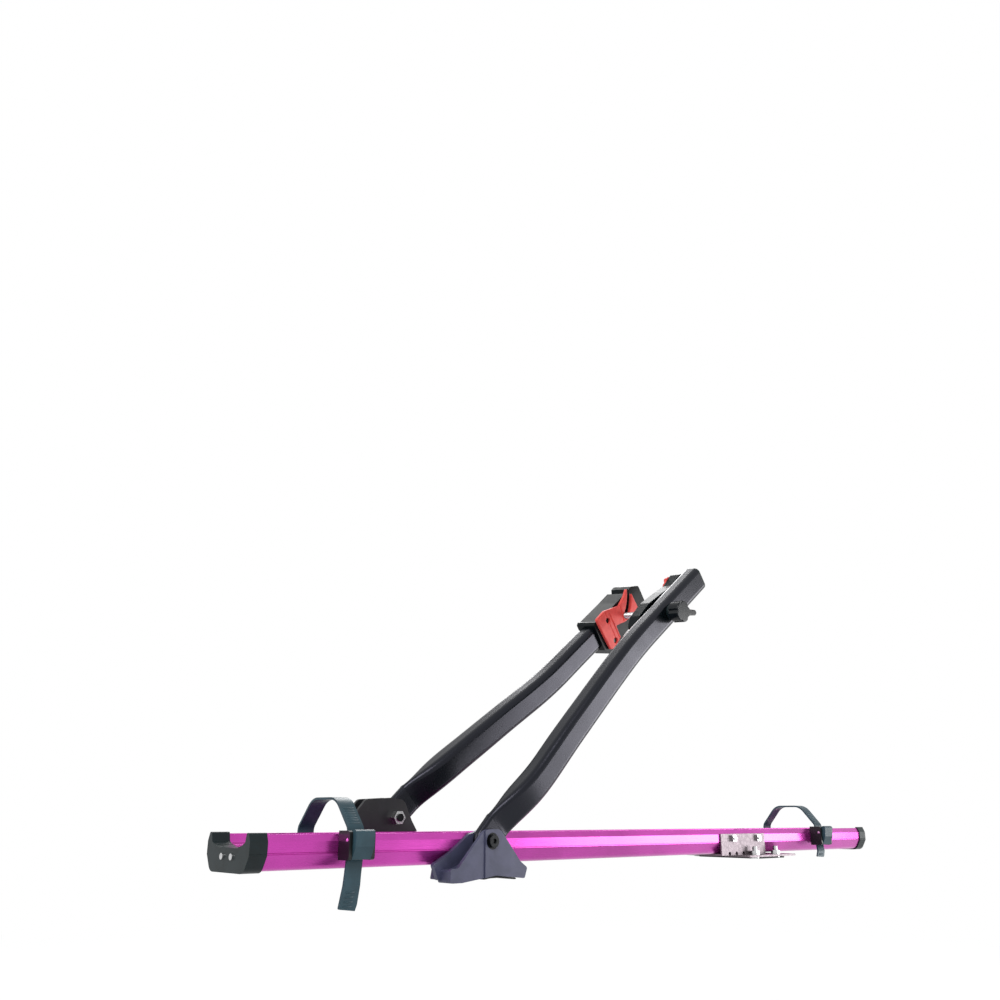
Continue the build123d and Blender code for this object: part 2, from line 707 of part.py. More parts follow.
def arm_frame(x, y, z, tilt):
    """The plane an arm is bent in: local X to the rear, Y up along the arm, Z to the near side."""
    lean = math.radians(tilt)
    return Plane(origin=(x, y, z), x_dir=(1, 0, 0), z_dir=(0, -math.cos(lean), -math.sin(lean))).location


def near_frame(tilt=NEAR_TILT):
    """The near arm's plane at its pivot."""
    return arm_frame(NEAR_PIVOT_X, NEAR_PIVOT_Y, PIVOT_HEIGHT, tilt)


def far_frame(tilt=FAR_TILT):
    """The far arm's plane at its pivot."""
    return arm_frame(FAR_PIVOT_X, FAR_PIVOT_Y, FAR_PIVOT_HEIGHT, tilt)


def near_head():
    """Clamp centre of the near arm: local X along the tube, Y across, Z to the near side."""
    return near_frame() * Pos(NEAR_REACH, NEAR_RISE, 0) * Rot(0, 0, HEAD_ANGLE)


def far_head():
    """Clamp centre of the far arm, turned the same way."""
    return far_frame() * Pos(FAR_REACH, FAR_RISE, 0) * Rot(0, 0, HEAD_ANGLE)


def near_arm():
    """The near arm with its rod bore."""
    args = (NEAR_LINE_SHARES, NEAR_REACH, NEAR_RISE, NEAR_START_ANGLE, NEAR_TONGUE_LENGTH, NEAR_STRAIGHT)
    eye = (TONGUE_DEPTH, TONGUE_CORNER, M10 + BUSH_WALL * 2)
    arm = bent_arm(near_frame(0), near_frame(), bend_stations(*args), *eye, NEAR_STRAIGHT + NEAR_TOP)
    return arm - rod(near_head() * Pos(0, 0, -ARM_DEPTH), ROD_DIAMETER + ROD_PLAY * 2, ARM_DEPTH * 2)


def fork_cut():
    """The curved open slot that lets the clamp rod lift out of the far head as both arms swing."""
    middle = (near_head() * Pos(0, 0, -ARM_DEPTH)).position
    x = middle.X + FAR_PIVOT_X - NEAR_PIVOT_X
    z = middle.Z + FAR_PIVOT_HEIGHT - PIVOT_HEIGHT
    radius = math.hypot(NEAR_PIVOT_X - FAR_PIVOT_X, FAR_PIVOT_HEIGHT - PIVOT_HEIGHT)
    first = math.degrees(math.atan2(PIVOT_HEIGHT - FAR_PIVOT_HEIGHT, NEAR_PIVOT_X - FAR_PIVOT_X))
    arc = CenterArc((0, 0), radius, first, FORK_SWING)
    lean = math.radians(NEAR_TILT)
    ahead = Vector(0, math.cos(lean), math.sin(lean))
    slot = SlotArc(arc, ROD_DIAMETER + ROD_PLAY * 2)
    return extrude(toward_near(x, middle.Y, z) * slot, amount=HEAD_SPACING * 2, dir=ahead)


def far_arm():
    """The far arm; its head is forked for the clamp rod."""
    args = (FAR_LINE_SHARES, FAR_REACH, FAR_RISE, FAR_START_ANGLE, FAR_TONGUE_LENGTH, FAR_STRAIGHT)
    eye = (FAR_TONGUE_DEPTH, FAR_TONGUE_CORNER, M10 + BUSH_WALL * 2)
    arm = bent_arm(far_frame(0), far_frame(), bend_stations(*args), *eye, FAR_STRAIGHT + FAR_TOP)
    return arm - fork_cut()


def end_plug():
    """Moulded plug that closes the near arm's top."""
    cap = extrude(RectangleRounded(ARM_WIDTH, ARM_DEPTH, ARM_CORNER), PLUG_LENGTH)
    cap = fillet(cap.faces().sort_by(Axis.Z)[-1].edges(), PLUG_ROUND)
    room = ARM_WALL + SEAT_GAP
    spigot = RectangleRounded(ARM_WIDTH - room * 2, ARM_DEPTH - room * 2, ARM_CORNER - room)
    wall = room + PLUG_WALL
    hollow = RectangleRounded(ARM_WIDTH - wall * 2, ARM_DEPTH - wall * 2, ARM_CORNER - wall)
    cap += extrude(spigot - hollow, -PLUG_SPIGOT)
    place = near_head() * Pos(NEAR_TOP, 0, 0) * Plane(origin=(0, 0, 0), x_dir=(0, 1, 0), z_dir=(1, 0, 0)).location
    return place * cap


def near_jaw_body():
    """Moulded inner jaw on the near tube, open behind, with a rod boss and screw bosses."""
    depth = JAW_BACK - ARM_DEPTH / 2 - FIT_GAP
    start = Pos(0, 0, -JAW_BACK)
    jaw = start * plate(NEAR_JAW_SHARES, JAW_REACH, JAW_HALF, JAW_CORNER, depth)
    inside = plate(NEAR_JAW_SHARES, JAW_REACH, JAW_HALF, JAW_CORNER, depth, JAW_WALL)
    jaw -= Pos(0, 0, -JAW_BACK + JAW_WALL) * inside
    jaw += rod(start, ROD_DIAMETER + JAW_WALL * 3, depth)
    for share in NEAR_JAW_SCREW_SHARES:
        jaw += rod(start * Pos(share * JAW_REACH, 0, 0), JAW_SCREW_BOSS, depth)
        jaw -= rod(start * Pos(share * JAW_REACH, 0, -CUT_OVERRUN), JAW_SCREW_DIAMETER, JAW_SCREW_LENGTH + CUT_OVERRUN)
    rib = Box(JAW_REACH, JAW_WALL / 2, depth - JAW_WALL)
    jaw += Pos(JAW_REACH / 4, 0, -JAW_BACK + depth / 2) * rib
    jaw -= rod(start * Pos(0, 0, -CUT_OVERRUN), ROD_DIAMETER + ROD_PLAY * 2, JAW_BACK)
    return near_head() * jaw


def near_jaw_pad():
    """Soft pad on the near jaw, ribbed across."""
    back = -JAW_BACK - FIT_GAP
    pad = Pos(0, 0, back - NEAR_PAD_DEPTH) * plate(NEAR_PAD_SHARES, JAW_REACH, JAW_HALF, JAW_CORNER, NEAR_PAD_DEPTH)
    count = int(JAW_REACH / PAD_RIB_PITCH)
    for i in range(1, count):
        x = i * PAD_RIB_PITCH + PAD_RIB_WIDTH
        groove = Box(PAD_RIB_WIDTH, JAW_HALF * 3, PAD_RIB_DEPTH * 2)
        pad -= Pos(x, 0, back - NEAR_PAD_DEPTH) * groove
    for share in NEAR_JAW_SCREW_SHARES:
        place = Pos(share * JAW_REACH, 0, back - NEAR_PAD_DEPTH - CUT_OVERRUN)
        pad -= rod(place, JAW_SCREW_HEAD + FIT_GAP * 2, NEAR_PAD_DEPTH + CUT_OVERRUN * 2)
    pad -= rod(Pos(0, 0, back - NEAR_PAD_DEPTH - CUT_OVERRUN), ROD_DIAMETER + ROD_PLAY * 2, JAW_BACK)
    return near_head() * pad


def near_jaw_screws():
    """Screws from the pad side into the jaw's bosses."""
    screws = []
    for share in NEAR_JAW_SCREW_SHARES:
        place = Pos(share * JAW_REACH, 0, -JAW_BACK)
        head = rod(place * Pos(0, 0, -JAW_SCREW_HEAD_HEIGHT), JAW_SCREW_HEAD, JAW_SCREW_HEAD_HEIGHT)
        screws.append(near_head() * (head + rod(place, JAW_SCREW_DIAMETER, JAW_SCREW_LENGTH)))
    return Compound(screws)


def far_jaw():
    """Moulded sleeve and block on the far arm's head, with the fork for the rod."""
    depth = FAR_JAW_NEAR_FACE + FAR_JAW_OUTER_FACE
    jaw = Pos(0, 0, -FAR_JAW_OUTER_FACE) * plate(FAR_JAW_SHARES, FAR_JAW_REACH, FAR_JAW_HALF, JAW_CORNER, depth)
    room = FIT_GAP * 2
    tube = RectangleRounded(ARM_WIDTH + room, ARM_DEPTH + room, ARM_CORNER + FIT_GAP)
    along = Plane(origin=(-FAR_JAW_REACH * 2, 0, 0), x_dir=(0, 1, 0), z_dir=(1, 0, 0)).location
    jaw -= along * extrude(tube, FAR_JAW_REACH * 2 + FAR_TOP + FIT_GAP)
    for x, y in FAR_PAD_SCREW_SHARES:
        place = Pos(x * FAR_JAW_REACH, y * FAR_JAW_HALF, ARM_DEPTH / 2)
        jaw -= rod(place, JAW_SCREW_DIAMETER, JAW_SCREW_LENGTH)
    return far_head() * jaw - fork_cut()


def far_jaw_pad():
    """Soft pad on the far jaw's near face."""
    pad = Pos(0, 0, FAR_JAW_NEAR_FACE + FIT_GAP)
    pad = pad * plate(FAR_PAD_SHARES, FAR_JAW_REACH, FAR_JAW_HALF, JAW_CORNER, FAR_PAD_DEPTH)
    for x, y in FAR_PAD_SCREW_SHARES:
        place = Pos(x * FAR_JAW_REACH, y * FAR_JAW_HALF, FAR_JAW_NEAR_FACE)
        pad -= rod(place, JAW_SCREW_HEAD + FIT_GAP * 2, FAR_PAD_DEPTH + CUT_OVERRUN)
    return far_head() * pad - fork_cut()


def far_pad_screws():
    """Screws that hold the far pad's seat."""
    screws = []
    for x, y in FAR_PAD_SCREW_SHARES:
        place = Pos(x * FAR_JAW_REACH, y * FAR_JAW_HALF, FAR_JAW_NEAR_FACE)
        head = rod(place, JAW_SCREW_HEAD, JAW_SCREW_HEAD_HEIGHT)
        depth = FAR_JAW_NEAR_FACE - ARM_DEPTH / 2 - FIT_GAP * 2
        screws.append(far_head() * (head + rod(place * Pos(0, 0, -depth), JAW_SCREW_DIAMETER, depth)))
    return Compound(screws)


def nut_face():
    """Where the clamp nut's near face lies along the rod, in the near head's frame."""
    return -HEAD_SPACING - FAR_JAW_OUTER_FACE - NUT_LIFT_GAP


def clamp_rod():
    """Threaded rod from the knob through both heads."""
    start = nut_face() - NUT_PLATE_DEPTH - ROD_SPARE
    end = KNOB_START + KNOB_DEPTH - KNOB_ROUND * 2
    bar = rod(Pos(0, 0, start), ROD_DIAMETER, end - start)
    return near_head() * chamfer(bar.faces().sort_by(Axis.Z)[0].edges(), EDGE_BREAK)


def clamp_nut():
    """Plate nut on the far side of the far jaw."""
    face = RectangleRounded(NUT_PLATE_LENGTH, NUT_PLATE_WIDTH, NUT_PLATE_CORNER)
    body = Pos(0, 0, nut_face() - NUT_PLATE_DEPTH) * extrude(face, NUT_PLATE_DEPTH)
    return near_head() * (body - rod(Pos(0, 0, nut_face() * 2), ROD_DIAMETER + PIN_GAP * 2, HEAD_SPACING * 2))


def thrust_washer():
    """Black collar between tube and knob."""
    start = Pos(0, 0, ARM_DEPTH / 2 + FIT_GAP)
    collar = rod(start, BOSS_DIAMETER, BOSS_LENGTH)
    collar = fillet(collar.faces().sort_by(Axis.Z)[-1].edges(), KNOB_ROUND)
    return near_head() * (collar - rod(Pos(0, 0, 0), ROD_DIAMETER + PIN_GAP * 2, ARM_DEPTH))


def clamp_knob():
    """Lobed knob with one wing."""
    disc = Circle(KNOB_DIAMETER / 2)
    for i in range(KNOB_LOBES):
        turn = Rot(0, 0, 360 / KNOB_LOBES * i)
        disc -= turn * Pos(KNOB_SCALLOP_RING / 2, 0) * Circle(KNOB_SCALLOP_DIAMETER / 2)
    wing = Pos(KNOB_DIAMETER / 2, 0) * SlotOverall(KNOB_WING_LENGTH * 2, KNOB_WING_WIDTH)
    disc += Rot(0, 0, -180 / KNOB_LOBES) * wing
    knob = Pos(0, 0, KNOB_START) * extrude(disc, KNOB_DEPTH)
    knob = fillet(knob.faces().sort_by(Axis.Z)[-1].edges(), KNOB_ROUND)
    knob -= rod(Pos(0, 0, KNOB_START - CUT_OVERRUN), INSERT_DIAMETER, INSERT_DEPTH + CUT_OVERRUN)
    knob -= rod(Pos(0, 0, KNOB_START), ROD_DIAMETER, KNOB_DEPTH - KNOB_ROUND * 2)
    return near_head() * knob


def knob_insert():
    """Brass sleeve that ties the knob to the rod."""
    sleeve = rod(Pos(0, 0, KNOB_START), INSERT_DIAMETER, INSERT_DEPTH)
    return near_head() * (sleeve - rod(Pos(0, 0, 0), ROD_DIAMETER, ARM_DEPTH * 2))


def pivot_bush(frame_y, pivot, depth):
    """Plain bush in an arm's eye."""
    x, z = pivot
    place = toward_near(x, frame_y + depth / 2, z)
    bush = rod(place, M10 + BUSH_WALL * 2 - PIN_GAP * 2, depth)
    return bush - rod(place, M10 + PIN_GAP * 2, depth)


def socket_bolt(place, diameter, head, head_height, length):
    """A low socket-head bolt whose head stands on a place and whose shank runs behind it."""
    bolt = rod(place, head, head_height)
    bolt = fillet(bolt.edges().filter_by(GeomType.CIRCLE).sort_by(place_axis(place))[-1], EDGE_BREAK)
    bolt -= hexagon(place * Pos(0, 0, head_height - SOCKET_DEPTH), SOCKET_ACROSS, SOCKET_DEPTH)
    return bolt + rod(place * Pos(0, 0, -length), diameter, length)


def place_axis(place):
    """The line that runs along a place's local +Z."""
    plane = Plane(place)
    return Axis(plane.origin, plane.z_dir)


def near_pivot_bolt():
    """Bolt through cheek, arm and inner wall."""
    place = toward_near(NEAR_PIVOT_X, -CHEEK_FACE - WASHER_THICKNESS, PIVOT_HEIGHT)
    length = CHEEK_FACE + WASHER_THICKNESS - TRAY_HALF - FIT_GAP * 2
    return socket_bolt(place, M10, PIVOT_HEAD_DIAMETER, PIVOT_HEAD_HEIGHT, length)


def near_pivot_washer():
    """Washer under the near pivot bolt's head, in its recess."""
    place = toward_near(NEAR_PIVOT_X, -CHEEK_FACE, PIVOT_HEIGHT)
    return rod(place, WASHER_DIAMETER, WASHER_THICKNESS) - rod(place, M10 + PIN_GAP * 2, WASHER_THICKNESS)


def far_planes():
    """Y of the far bracket's inner ear, its two slot faces and its outer ear."""
    half = FAR_TONGUE_DEPTH / 2 + BRACKET_SIDE_GAP
    inner, outer = FAR_PIVOT_Y - half, FAR_PIVOT_Y + half
    return inner - BRACKET_EAR, inner, outer, outer + BRACKET_EAR


def bracket_screw_places():
    """X of the two screws that hold the far bracket."""
    return [FAR_PIVOT_X + share * BRACKET_REACH for share in BRACKET_SCREW_SHARES]


def bracket_screw_height():
    """Z of the same screws."""
    return FAR_PIVOT_HEIGHT - BRACKET_SCREW_DROP


def far_bracket():
    """Moulded bracket on the tray's far side: a base beside the tray and two ears over it."""
    inner_face, slot_in, slot_out, outer_face = far_planes()
    size = (BRACKET_REACH, FAR_PIVOT_HEIGHT, BRACKET_CORNER)
    at = (FAR_PIVOT_X, FAR_PIVOT_HEIGHT)
    side = TRAY_HALF + FIT_GAP
    bracket = side_slab(BRACKET_FLOOR_SHARES, *size, side, outer_face, *at)
    bracket += side_slab(BRACKET_EAR_SHARES, *size, slot_out, outer_face, *at)
    ear = side_slab(BRACKET_EAR_SHARES, *size, inner_face, slot_in, *at)
    low = box(-TRAY_LENGTH, TRAY_LENGTH, 0, side, 0, TRAY_TOP + FIT_GAP)
    bracket += ear - low
    bore = toward_near(FAR_PIVOT_X, outer_face + CUT_OVERRUN, FAR_PIVOT_HEIGHT)
    bracket -= rod(bore, M10 + PIN_GAP * 2, outer_face)
    for x in bracket_screw_places():
        place = toward_near(x, outer_face + CUT_OVERRUN, bracket_screw_height())
        bracket -= rod(place, M6 + SEAT_GAP, outer_face)
    return bracket


def far_pivot_bolt():
    """Bolt through both ears of the far bracket."""
    inner_face, _, _, outer_face = far_planes()
    place = toward_far(FAR_PIVOT_X, outer_face, FAR_PIVOT_HEIGHT)
    length = outer_face - inner_face + M10 * NUT_HEIGHT_SHARE + SLOT_BOLT_TAIL / 2
    return socket_bolt(place, M10, PIVOT_HEAD_DIAMETER, PIVOT_HEAD_HEIGHT, length)


def far_pivot_nut():
    """Nut on the far pivot bolt, over the tray's far side lobe."""
    inner_face = far_planes()[0]
    place = toward_near(FAR_PIVOT_X, inner_face, FAR_PIVOT_HEIGHT)
    height = M10 * NUT_HEIGHT_SHARE
    return hexagon(place, M10 * HEX_SHARE, height) - rod(place, M10, height)


def far_bracket_screws():
    """Two screws through the far bracket into the tray's far lobe."""
    outer_face = far_planes()[3]
    length = outer_face - TRAY_HALF + TRAY_WALL + SLOT_BOLT_TAIL / 2
    screws = []
    for x in bracket_screw_places():
        place = toward_far(x, outer_face, bracket_screw_height())
        screws.append(socket_bolt(place, M6, M10, PIVOT_HEAD_HEIGHT, length))
    return Compound(screws)


def strap_line(inset, tail_bottom):
    """Middle line of a strap in Y and Z: far anchor, arch over the wheel space, buckle, tail."""
    side = STRAP_SIDE - inset
    crown = STRAP_TOP - inset
    line = [
        (side, ANCHOR_PIN_HEIGHT),
        (side, TRAY_TOP + STRAP_CROWN / 4),
        (STRAP_CROWN, crown),
        (-STRAP_CROWN, crown),
        (-side, TRAY_TOP + STRAP_CROWN / 4),
        (-side, BUCKLE_BOTTOM),
        (-side - TAIL_SWING, (BUCKLE_BOTTOM + tail_bottom) / 2),
        (-side - TAIL_SWING, tail_bottom),
    ]
    return line


def wheel_strap(x, tail_bottom):
    """A moulded strap that keeps its arch over the wheel space, with its free tail below the buckle."""
    line = strap_line(STRAP_DEPTH / 2, tail_bottom)
    corner = STRAP_CROWN / 2
    radii = [corner, corner * 2, corner * 2, corner, corner / 2, corner / 4]
    path = FilletPolyline(*line, radius=radii)
    band = offset(path, amount=STRAP_DEPTH, side=Side.LEFT)
    face = make_face(band)
    strap = along_tray(x - STRAP_WIDTH / 2, face, STRAP_WIDTH)
    near, low = -STRAP_SIDE - STRAP_WIDTH, tail_bottom - CUT_OVERRUN
    strap -= box(x - STRAP_WIDTH, x + STRAP_WIDTH, near, 0, low, BUCKLE_BOTTOM)
    length = BUCKLE_BOTTOM - tail_bottom
    tail = side_slab(TAIL_SHARES, STRAP_WIDTH, length, STRAP_WIDTH / 2, near, -TRAY_HALF, x, tail_bottom)
    strap += tail & along_tray(x - STRAP_WIDTH * 2, face, STRAP_WIDTH * 4)
    eye = toward_lengthwise(x - STRAP_WIDTH / 2, STRAP_SIDE, ANCHOR_PIN_HEIGHT)
    strap += rod(eye, ANCHOR_PIN_DIAMETER + STRAP_DEPTH * 2, STRAP_WIDTH)
    strap -= rod(eye, ANCHOR_PIN_DIAMETER + PIN_GAP * 2, STRAP_WIDTH)
    return strap


def toward_lengthwise(x, y, z):
    """A place whose local +Z looks to the rear."""
    return Plane(origin=(x, y, z), x_dir=(0, 1, 0), z_dir=(1, 0, 0)).location


def buckle_body(x):
    """Moulded buckle on the tray's near side: back plate and two cheeks that hold the pin."""
    back = -TRAY_HALF - FIT_GAP
    half = BUCKLE_WIDTH / 2
    body = box(x - half, x + half, back - BUCKLE_BACK, back, BUCKLE_BOTTOM, BUCKLE_TOP)
    for side in (-1, 1):
        inner = x + side * (half - BUCKLE_CHEEK)
        outer = x + side * half
        cheek = box(inner, outer, back - BUCKLE_REACH, back, BUCKLE_BOTTOM, BUCKLE_TOP)
        cheek = fillet(cheek.edges().filter_by(Axis.X).sort_by(Axis.Y)[:2], BUCKLE_CORNER)
        body += cheek
    pin = toward_lengthwise(x - half, back - LEVER_PIN_REACH, LEVER_PIN_HEIGHT)
    return body - rod(pin, LEVER_PIN_DIAMETER + PIN_GAP * 2, BUCKLE_WIDTH)


def lever_pin(x):
    """Steel pin of a buckle lever."""
    half = BUCKLE_WIDTH / 2
    pin = toward_lengthwise(x - half, -TRAY_HALF - FIT_GAP - LEVER_PIN_REACH, LEVER_PIN_HEIGHT)
    return rod(pin, LEVER_PIN_DIAMETER, BUCKLE_WIDTH)


def buckle_lever(x):
    """Thumb lever of a buckle, with its thin lip below."""
    width = BUCKLE_WIDTH - BUCKLE_CHEEK * 2 - LEVER_GAP * 2
    slab = plate(LEVER_SHARES, -LEVER_SIZE, LEVER_SIZE, BUCKLE_CORNER, width)
    place = toward_lengthwise(x - width / 2, -TRAY_HALF - FIT_GAP - LEVER_PIN_REACH, LEVER_PIN_HEIGHT)
    return place * slab - rod(place, LEVER_PIN_DIAMETER + PIN_GAP * 2, width)


def strap_anchor(x):
    """Moulded anchor on the tray's far side that holds the strap's fixed end."""
    back = TRAY_HALF + FIT_GAP
    half = BUCKLE_WIDTH / 2
    reach = STRAP_SIDE - TRAY_HALF + ANCHOR_PIN_DIAMETER + STRAP_DEPTH
    top = ANCHOR_BOTTOM + ANCHOR_HEIGHT
    anchor = box(x - half, x + half, back, back + BUCKLE_BACK, ANCHOR_BOTTOM, top)
    for side in (-1, 1):
        inner = x + side * (half - BUCKLE_CHEEK)
        anchor += box(inner, x + side * half, back, back + reach, ANCHOR_BOTTOM, top)
    pin = toward_lengthwise(x - half, STRAP_SIDE, ANCHOR_PIN_HEIGHT)
    return anchor - rod(pin, ANCHOR_PIN_DIAMETER + PIN_GAP * 2, BUCKLE_WIDTH)


def anchor_pin(x):
    """Steel pin of a strap's fixed end."""
    pin = toward_lengthwise(x - BUCKLE_WIDTH / 2, STRAP_SIDE, ANCHOR_PIN_HEIGHT)
    return rod(pin, ANCHOR_PIN_DIAMETER, BUCKLE_WIDTH)


def rear_bolt_places():
    """X of the bolts through each rear side plate."""
    first = REAR_PLATE_FRONT + REAR_BOLT_FIRST
    return [first, first + REAR_BOLT_PITCH]


def rear_plate(side):
    """Bent side plate of the rear bracket, with a scalloped foot under the tray."""
    face = side * TRAY_HALF
    out = side * (TRAY_HALF + REAR_PLATE_THICKNESS)
    rear = REAR_PLATE_FRONT + REAR_PLATE_LENGTH
    low = TRAY_BOTTOM - REAR_PLATE_THICKNESS
    piece = box(REAR_PLATE_FRONT, rear, face, out, low, REAR_PLATE_TOP)
    piece += box(REAR_PLATE_FRONT, rear, side * (TRAY_HALF - REAR_FLANGE_WIDTH), out, low, TRAY_BOTTOM)
    for i in range(REAR_SCALLOPS):
        x = REAR_PLATE_FRONT + REAR_SCALLOP_PITCH * (i + 1) + REAR_PLATE_THICKNESS
        piece -= rod(toward_near(x, TRAY_WIDTH, TRAY_BOTTOM), REAR_SCALLOP_DIAMETER, TRAY_WIDTH * 2) & box(
            REAR_PLATE_FRONT, rear, face - side * EDGE_BREAK, out + side * CUT_OVERRUN, 0, TRAY_TOP)
    for x in rear_bolt_places():
        piece -= rod(toward_near(x, TRAY_WIDTH, REAR_BOLT_HEIGHT), M6 + SEAT_GAP, TRAY_WIDTH * 2)
    return piece


def rear_side_bolts():
    """Bolts whose heads sit inside the tray's lobes and whose ends carry the square nuts."""
    bolts = []
    for side in (-1, 1):
        for x in rear_bolt_places():
            start = side * (TRAY_HALF - TRAY_WALL)
            out = toward_near if side < 0 else toward_far
            back = toward_far if side < 0 else toward_near
            place = out(x, start, REAR_BOLT_HEIGHT)
            length = TRAY_WALL + REAR_PLATE_THICKNESS + M6 * NUT_HEIGHT_SHARE + SLOT_BOLT_TAIL / 2
            head = rod(back(x, start, REAR_BOLT_HEIGHT), REAR_BOLT_HEAD, REAR_BOLT_HEAD_HEIGHT)
            bolts.append(rod(place, M6, length) + head)
    return Compound(bolts)


def rear_square_nuts():
    """Square nuts outside the rear side plates."""
    nuts = []
    for side in (-1, 1):
        for x in rear_bolt_places():
            out = toward_near if side < 0 else toward_far
            place = out(x, side * (TRAY_HALF + REAR_PLATE_THICKNESS), REAR_BOLT_HEIGHT)
            height = M6 * NUT_HEIGHT_SHARE
            nuts.append(square(place, M6 * HEX_SHARE + EDGE_BREAK, height, EDGE_BREAK) - rod(place, M6, height))
    return Compound(nuts)


def saddle_top():
    """Z of the rear saddle plate's upper face."""
    return TRAY_BOTTOM - REAR_PLATE_THICKNESS


def rear_middle():
    """X of the saddle plate's middle."""
    return REAR_SADDLE_FRONT + REAR_SADDLE_LENGTH / 2


def pad_bolt_places():
    """X and Y of the four bolts that hold the rubber pad on the saddle plate."""
    first = REAR_SADDLE_FRONT + REAR_PAD_BOLT_FRONT
    ends = (first, first + REAR_PAD_BOLT_PITCH)
    return [(x, y) for x in ends for y in (-REAR_BOLT_ACROSS, REAR_BOLT_ACROSS)]


def clamp_hole_places():
    """X and Y of the four free holes that take the cross bar's clamp."""
    middle = rear_middle() + (CLAMP_HOLE_REAR - CLAMP_HOLE_FRONT) / 2
    ends = (middle - CLAMP_HOLE_FRONT, middle + CLAMP_HOLE_REAR)
    return [(x, y) for x in ends for y in (-REAR_BOLT_ACROSS, REAR_BOLT_ACROSS)]


def rear_saddle_plate():
    """Flat plate under the tray that lies over the cross bar."""
    face = RectangleRounded(REAR_SADDLE_LENGTH, REAR_SADDLE_WIDTH, PLATE_CORNER)
    low = saddle_top() - REAR_SADDLE_THICKNESS
    piece = Pos(rear_middle(), 0, low) * extrude(face, REAR_SADDLE_THICKNESS)
    for x, y in pad_bolt_places():
        piece -= rod(Pos(x, y, 0), M8 + SEAT_GAP, TRAY_TOP)
    for x, y in clamp_hole_places():
        piece -= rod(Pos(x, y, 0), CLAMP_HOLE_DIAMETER, TRAY_TOP)
    return piece


def rear_pad_bolts():
    """Four low-headed bolts, sunk in the pad, that hold it on the saddle plate."""
    low = saddle_top() - REAR_SADDLE_THICKNESS
    bolts = []
    for x, y in pad_bolt_places():
        head = rod(Pos(x, y, low - REAR_PAD_BOLT_HEAD_HEIGHT), REAR_PAD_BOLT_HEAD, REAR_PAD_BOLT_HEAD_HEIGHT)
        bolts.append(head + rod(Pos(x, y, low), M8, REAR_PAD_BOLT_TOP - low))
    return Compound(bolts)


def rear_pad_nuts():
    """Nuts on top of the saddle plate, on the pad's bolts."""
    height = M8 * NUT_HEIGHT_SHARE
    nuts = []
    for x, y in pad_bolt_places():
        place = Pos(x, y, saddle_top())
        nuts.append(hexagon(place, M8 * HEX_SHARE, height) - rod(place, M8, height))
    return Compound(nuts)


def rear_bar_pad():
    """Rubber pad under the saddle plate, on the rear cross bar, with room for the bolts' heads."""
    low = saddle_top() - REAR_SADDLE_THICKNESS - REAR_PAD_THICKNESS
    face = RectangleRounded(REAR_PAD_LENGTH, REAR_SADDLE_WIDTH - REAR_PAD_INSET * 2, PLATE_CORNER)
    pad = Pos(rear_middle(), 0, low) * extrude(face, REAR_PAD_THICKNESS)
    for x, y in pad_bolt_places():
        pad -= rod(Pos(x, y, 0), REAR_PAD_BOLT_HEAD + FIT_GAP * 2, TRAY_TOP)
    return pad


os.makedirs("parts", exist_ok=True)

save("wheel_tray", wheel_tray())
save("front_end_cap", end_cap(True))
save("rear_end_cap", end_cap(False))
save("end_cap_screws", cap_screws())
save("foot_body", foot_body())
save("foot_saddle_pad", foot_saddle_pad())
save("foot_cross_plate", foot_cross_plate())
save("front_bar_block", front_bar_block())
save("slot_bolts", slot_bolts())
save("slot_nuts", slot_nuts())
save("plate_screws", plate_screws())
save("near_arm", near_arm())
save("near_arm_end_plug", end_plug())
save("near_pivot_bush", pivot_bush(NEAR_PIVOT_Y, (NEAR_PIVOT_X, PIVOT_HEIGHT), TONGUE_DEPTH))
save("near_pivot_bolt", near_pivot_bolt())
save("near_pivot_washer", near_pivot_washer())
save("near_jaw_body", near_jaw_body())
save("near_jaw_pad", near_jaw_pad())
save("near_jaw_screws", near_jaw_screws())
save("far_bracket", far_bracket())
save("far_bracket_screws", far_bracket_screws())
save("far_pivot_bolt", far_pivot_bolt())
save("far_pivot_nut", far_pivot_nut())
save("far_arm", far_arm())
save("far_pivot_bush", pivot_bush(FAR_PIVOT_Y, (FAR_PIVOT_X, FAR_PIVOT_HEIGHT), FAR_TONGUE_DEPTH))
save("far_jaw", far_jaw())
save("far_jaw_pad", far_jaw_pad())
save("far_pad_screws", far_pad_screws())
save("clamp_rod", clamp_rod())
save("clamp_nut", clamp_nut())
save("thrust_washer", thrust_washer())
save("clamp_knob", clamp_knob())
save("knob_insert", knob_insert())
for which, strap_x, tail in (("front", FRONT_STRAP_X, FRONT_TAIL_BOTTOM), ("rear", REAR_STRAP_X, REAR_TAIL_BOTTOM)):
    save(which + "_wheel_strap", wheel_strap(strap_x, tail))
    save(which + "_buckle_body", buckle_body(strap_x))
    save(which + "_buckle_lever", buckle_lever(strap_x))
    save(which + "_lever_pin", lever_pin(strap_x))
    save(which + "_strap_anchor", strap_anchor(strap_x))
    save(which + "_anchor_pin", anchor_pin(strap_x))
save("rear_plate_near", rear_plate(-1))
save("rear_plate_far", rear_plate(1))
save("rear_side_bolts", rear_side_bolts())
save("rear_square_nuts", rear_square_nuts())
save("rear_saddle_plate", rear_saddle_plate())
save("rear_pad_bolts", rear_pad_bolts())
save("rear_pad_nuts", rear_pad_nuts())
save("rear_bar_pad", rear_bar_pad())
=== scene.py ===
"""Roof mounted bike carrier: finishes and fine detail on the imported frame."""

import logging
import math
from dataclasses import dataclass
from enum import Enum
from typing import ClassVar, Dict, Iterable, Optional, Sequence, Tuple

import bmesh
import bpy
from mathutils import Matrix, Vector


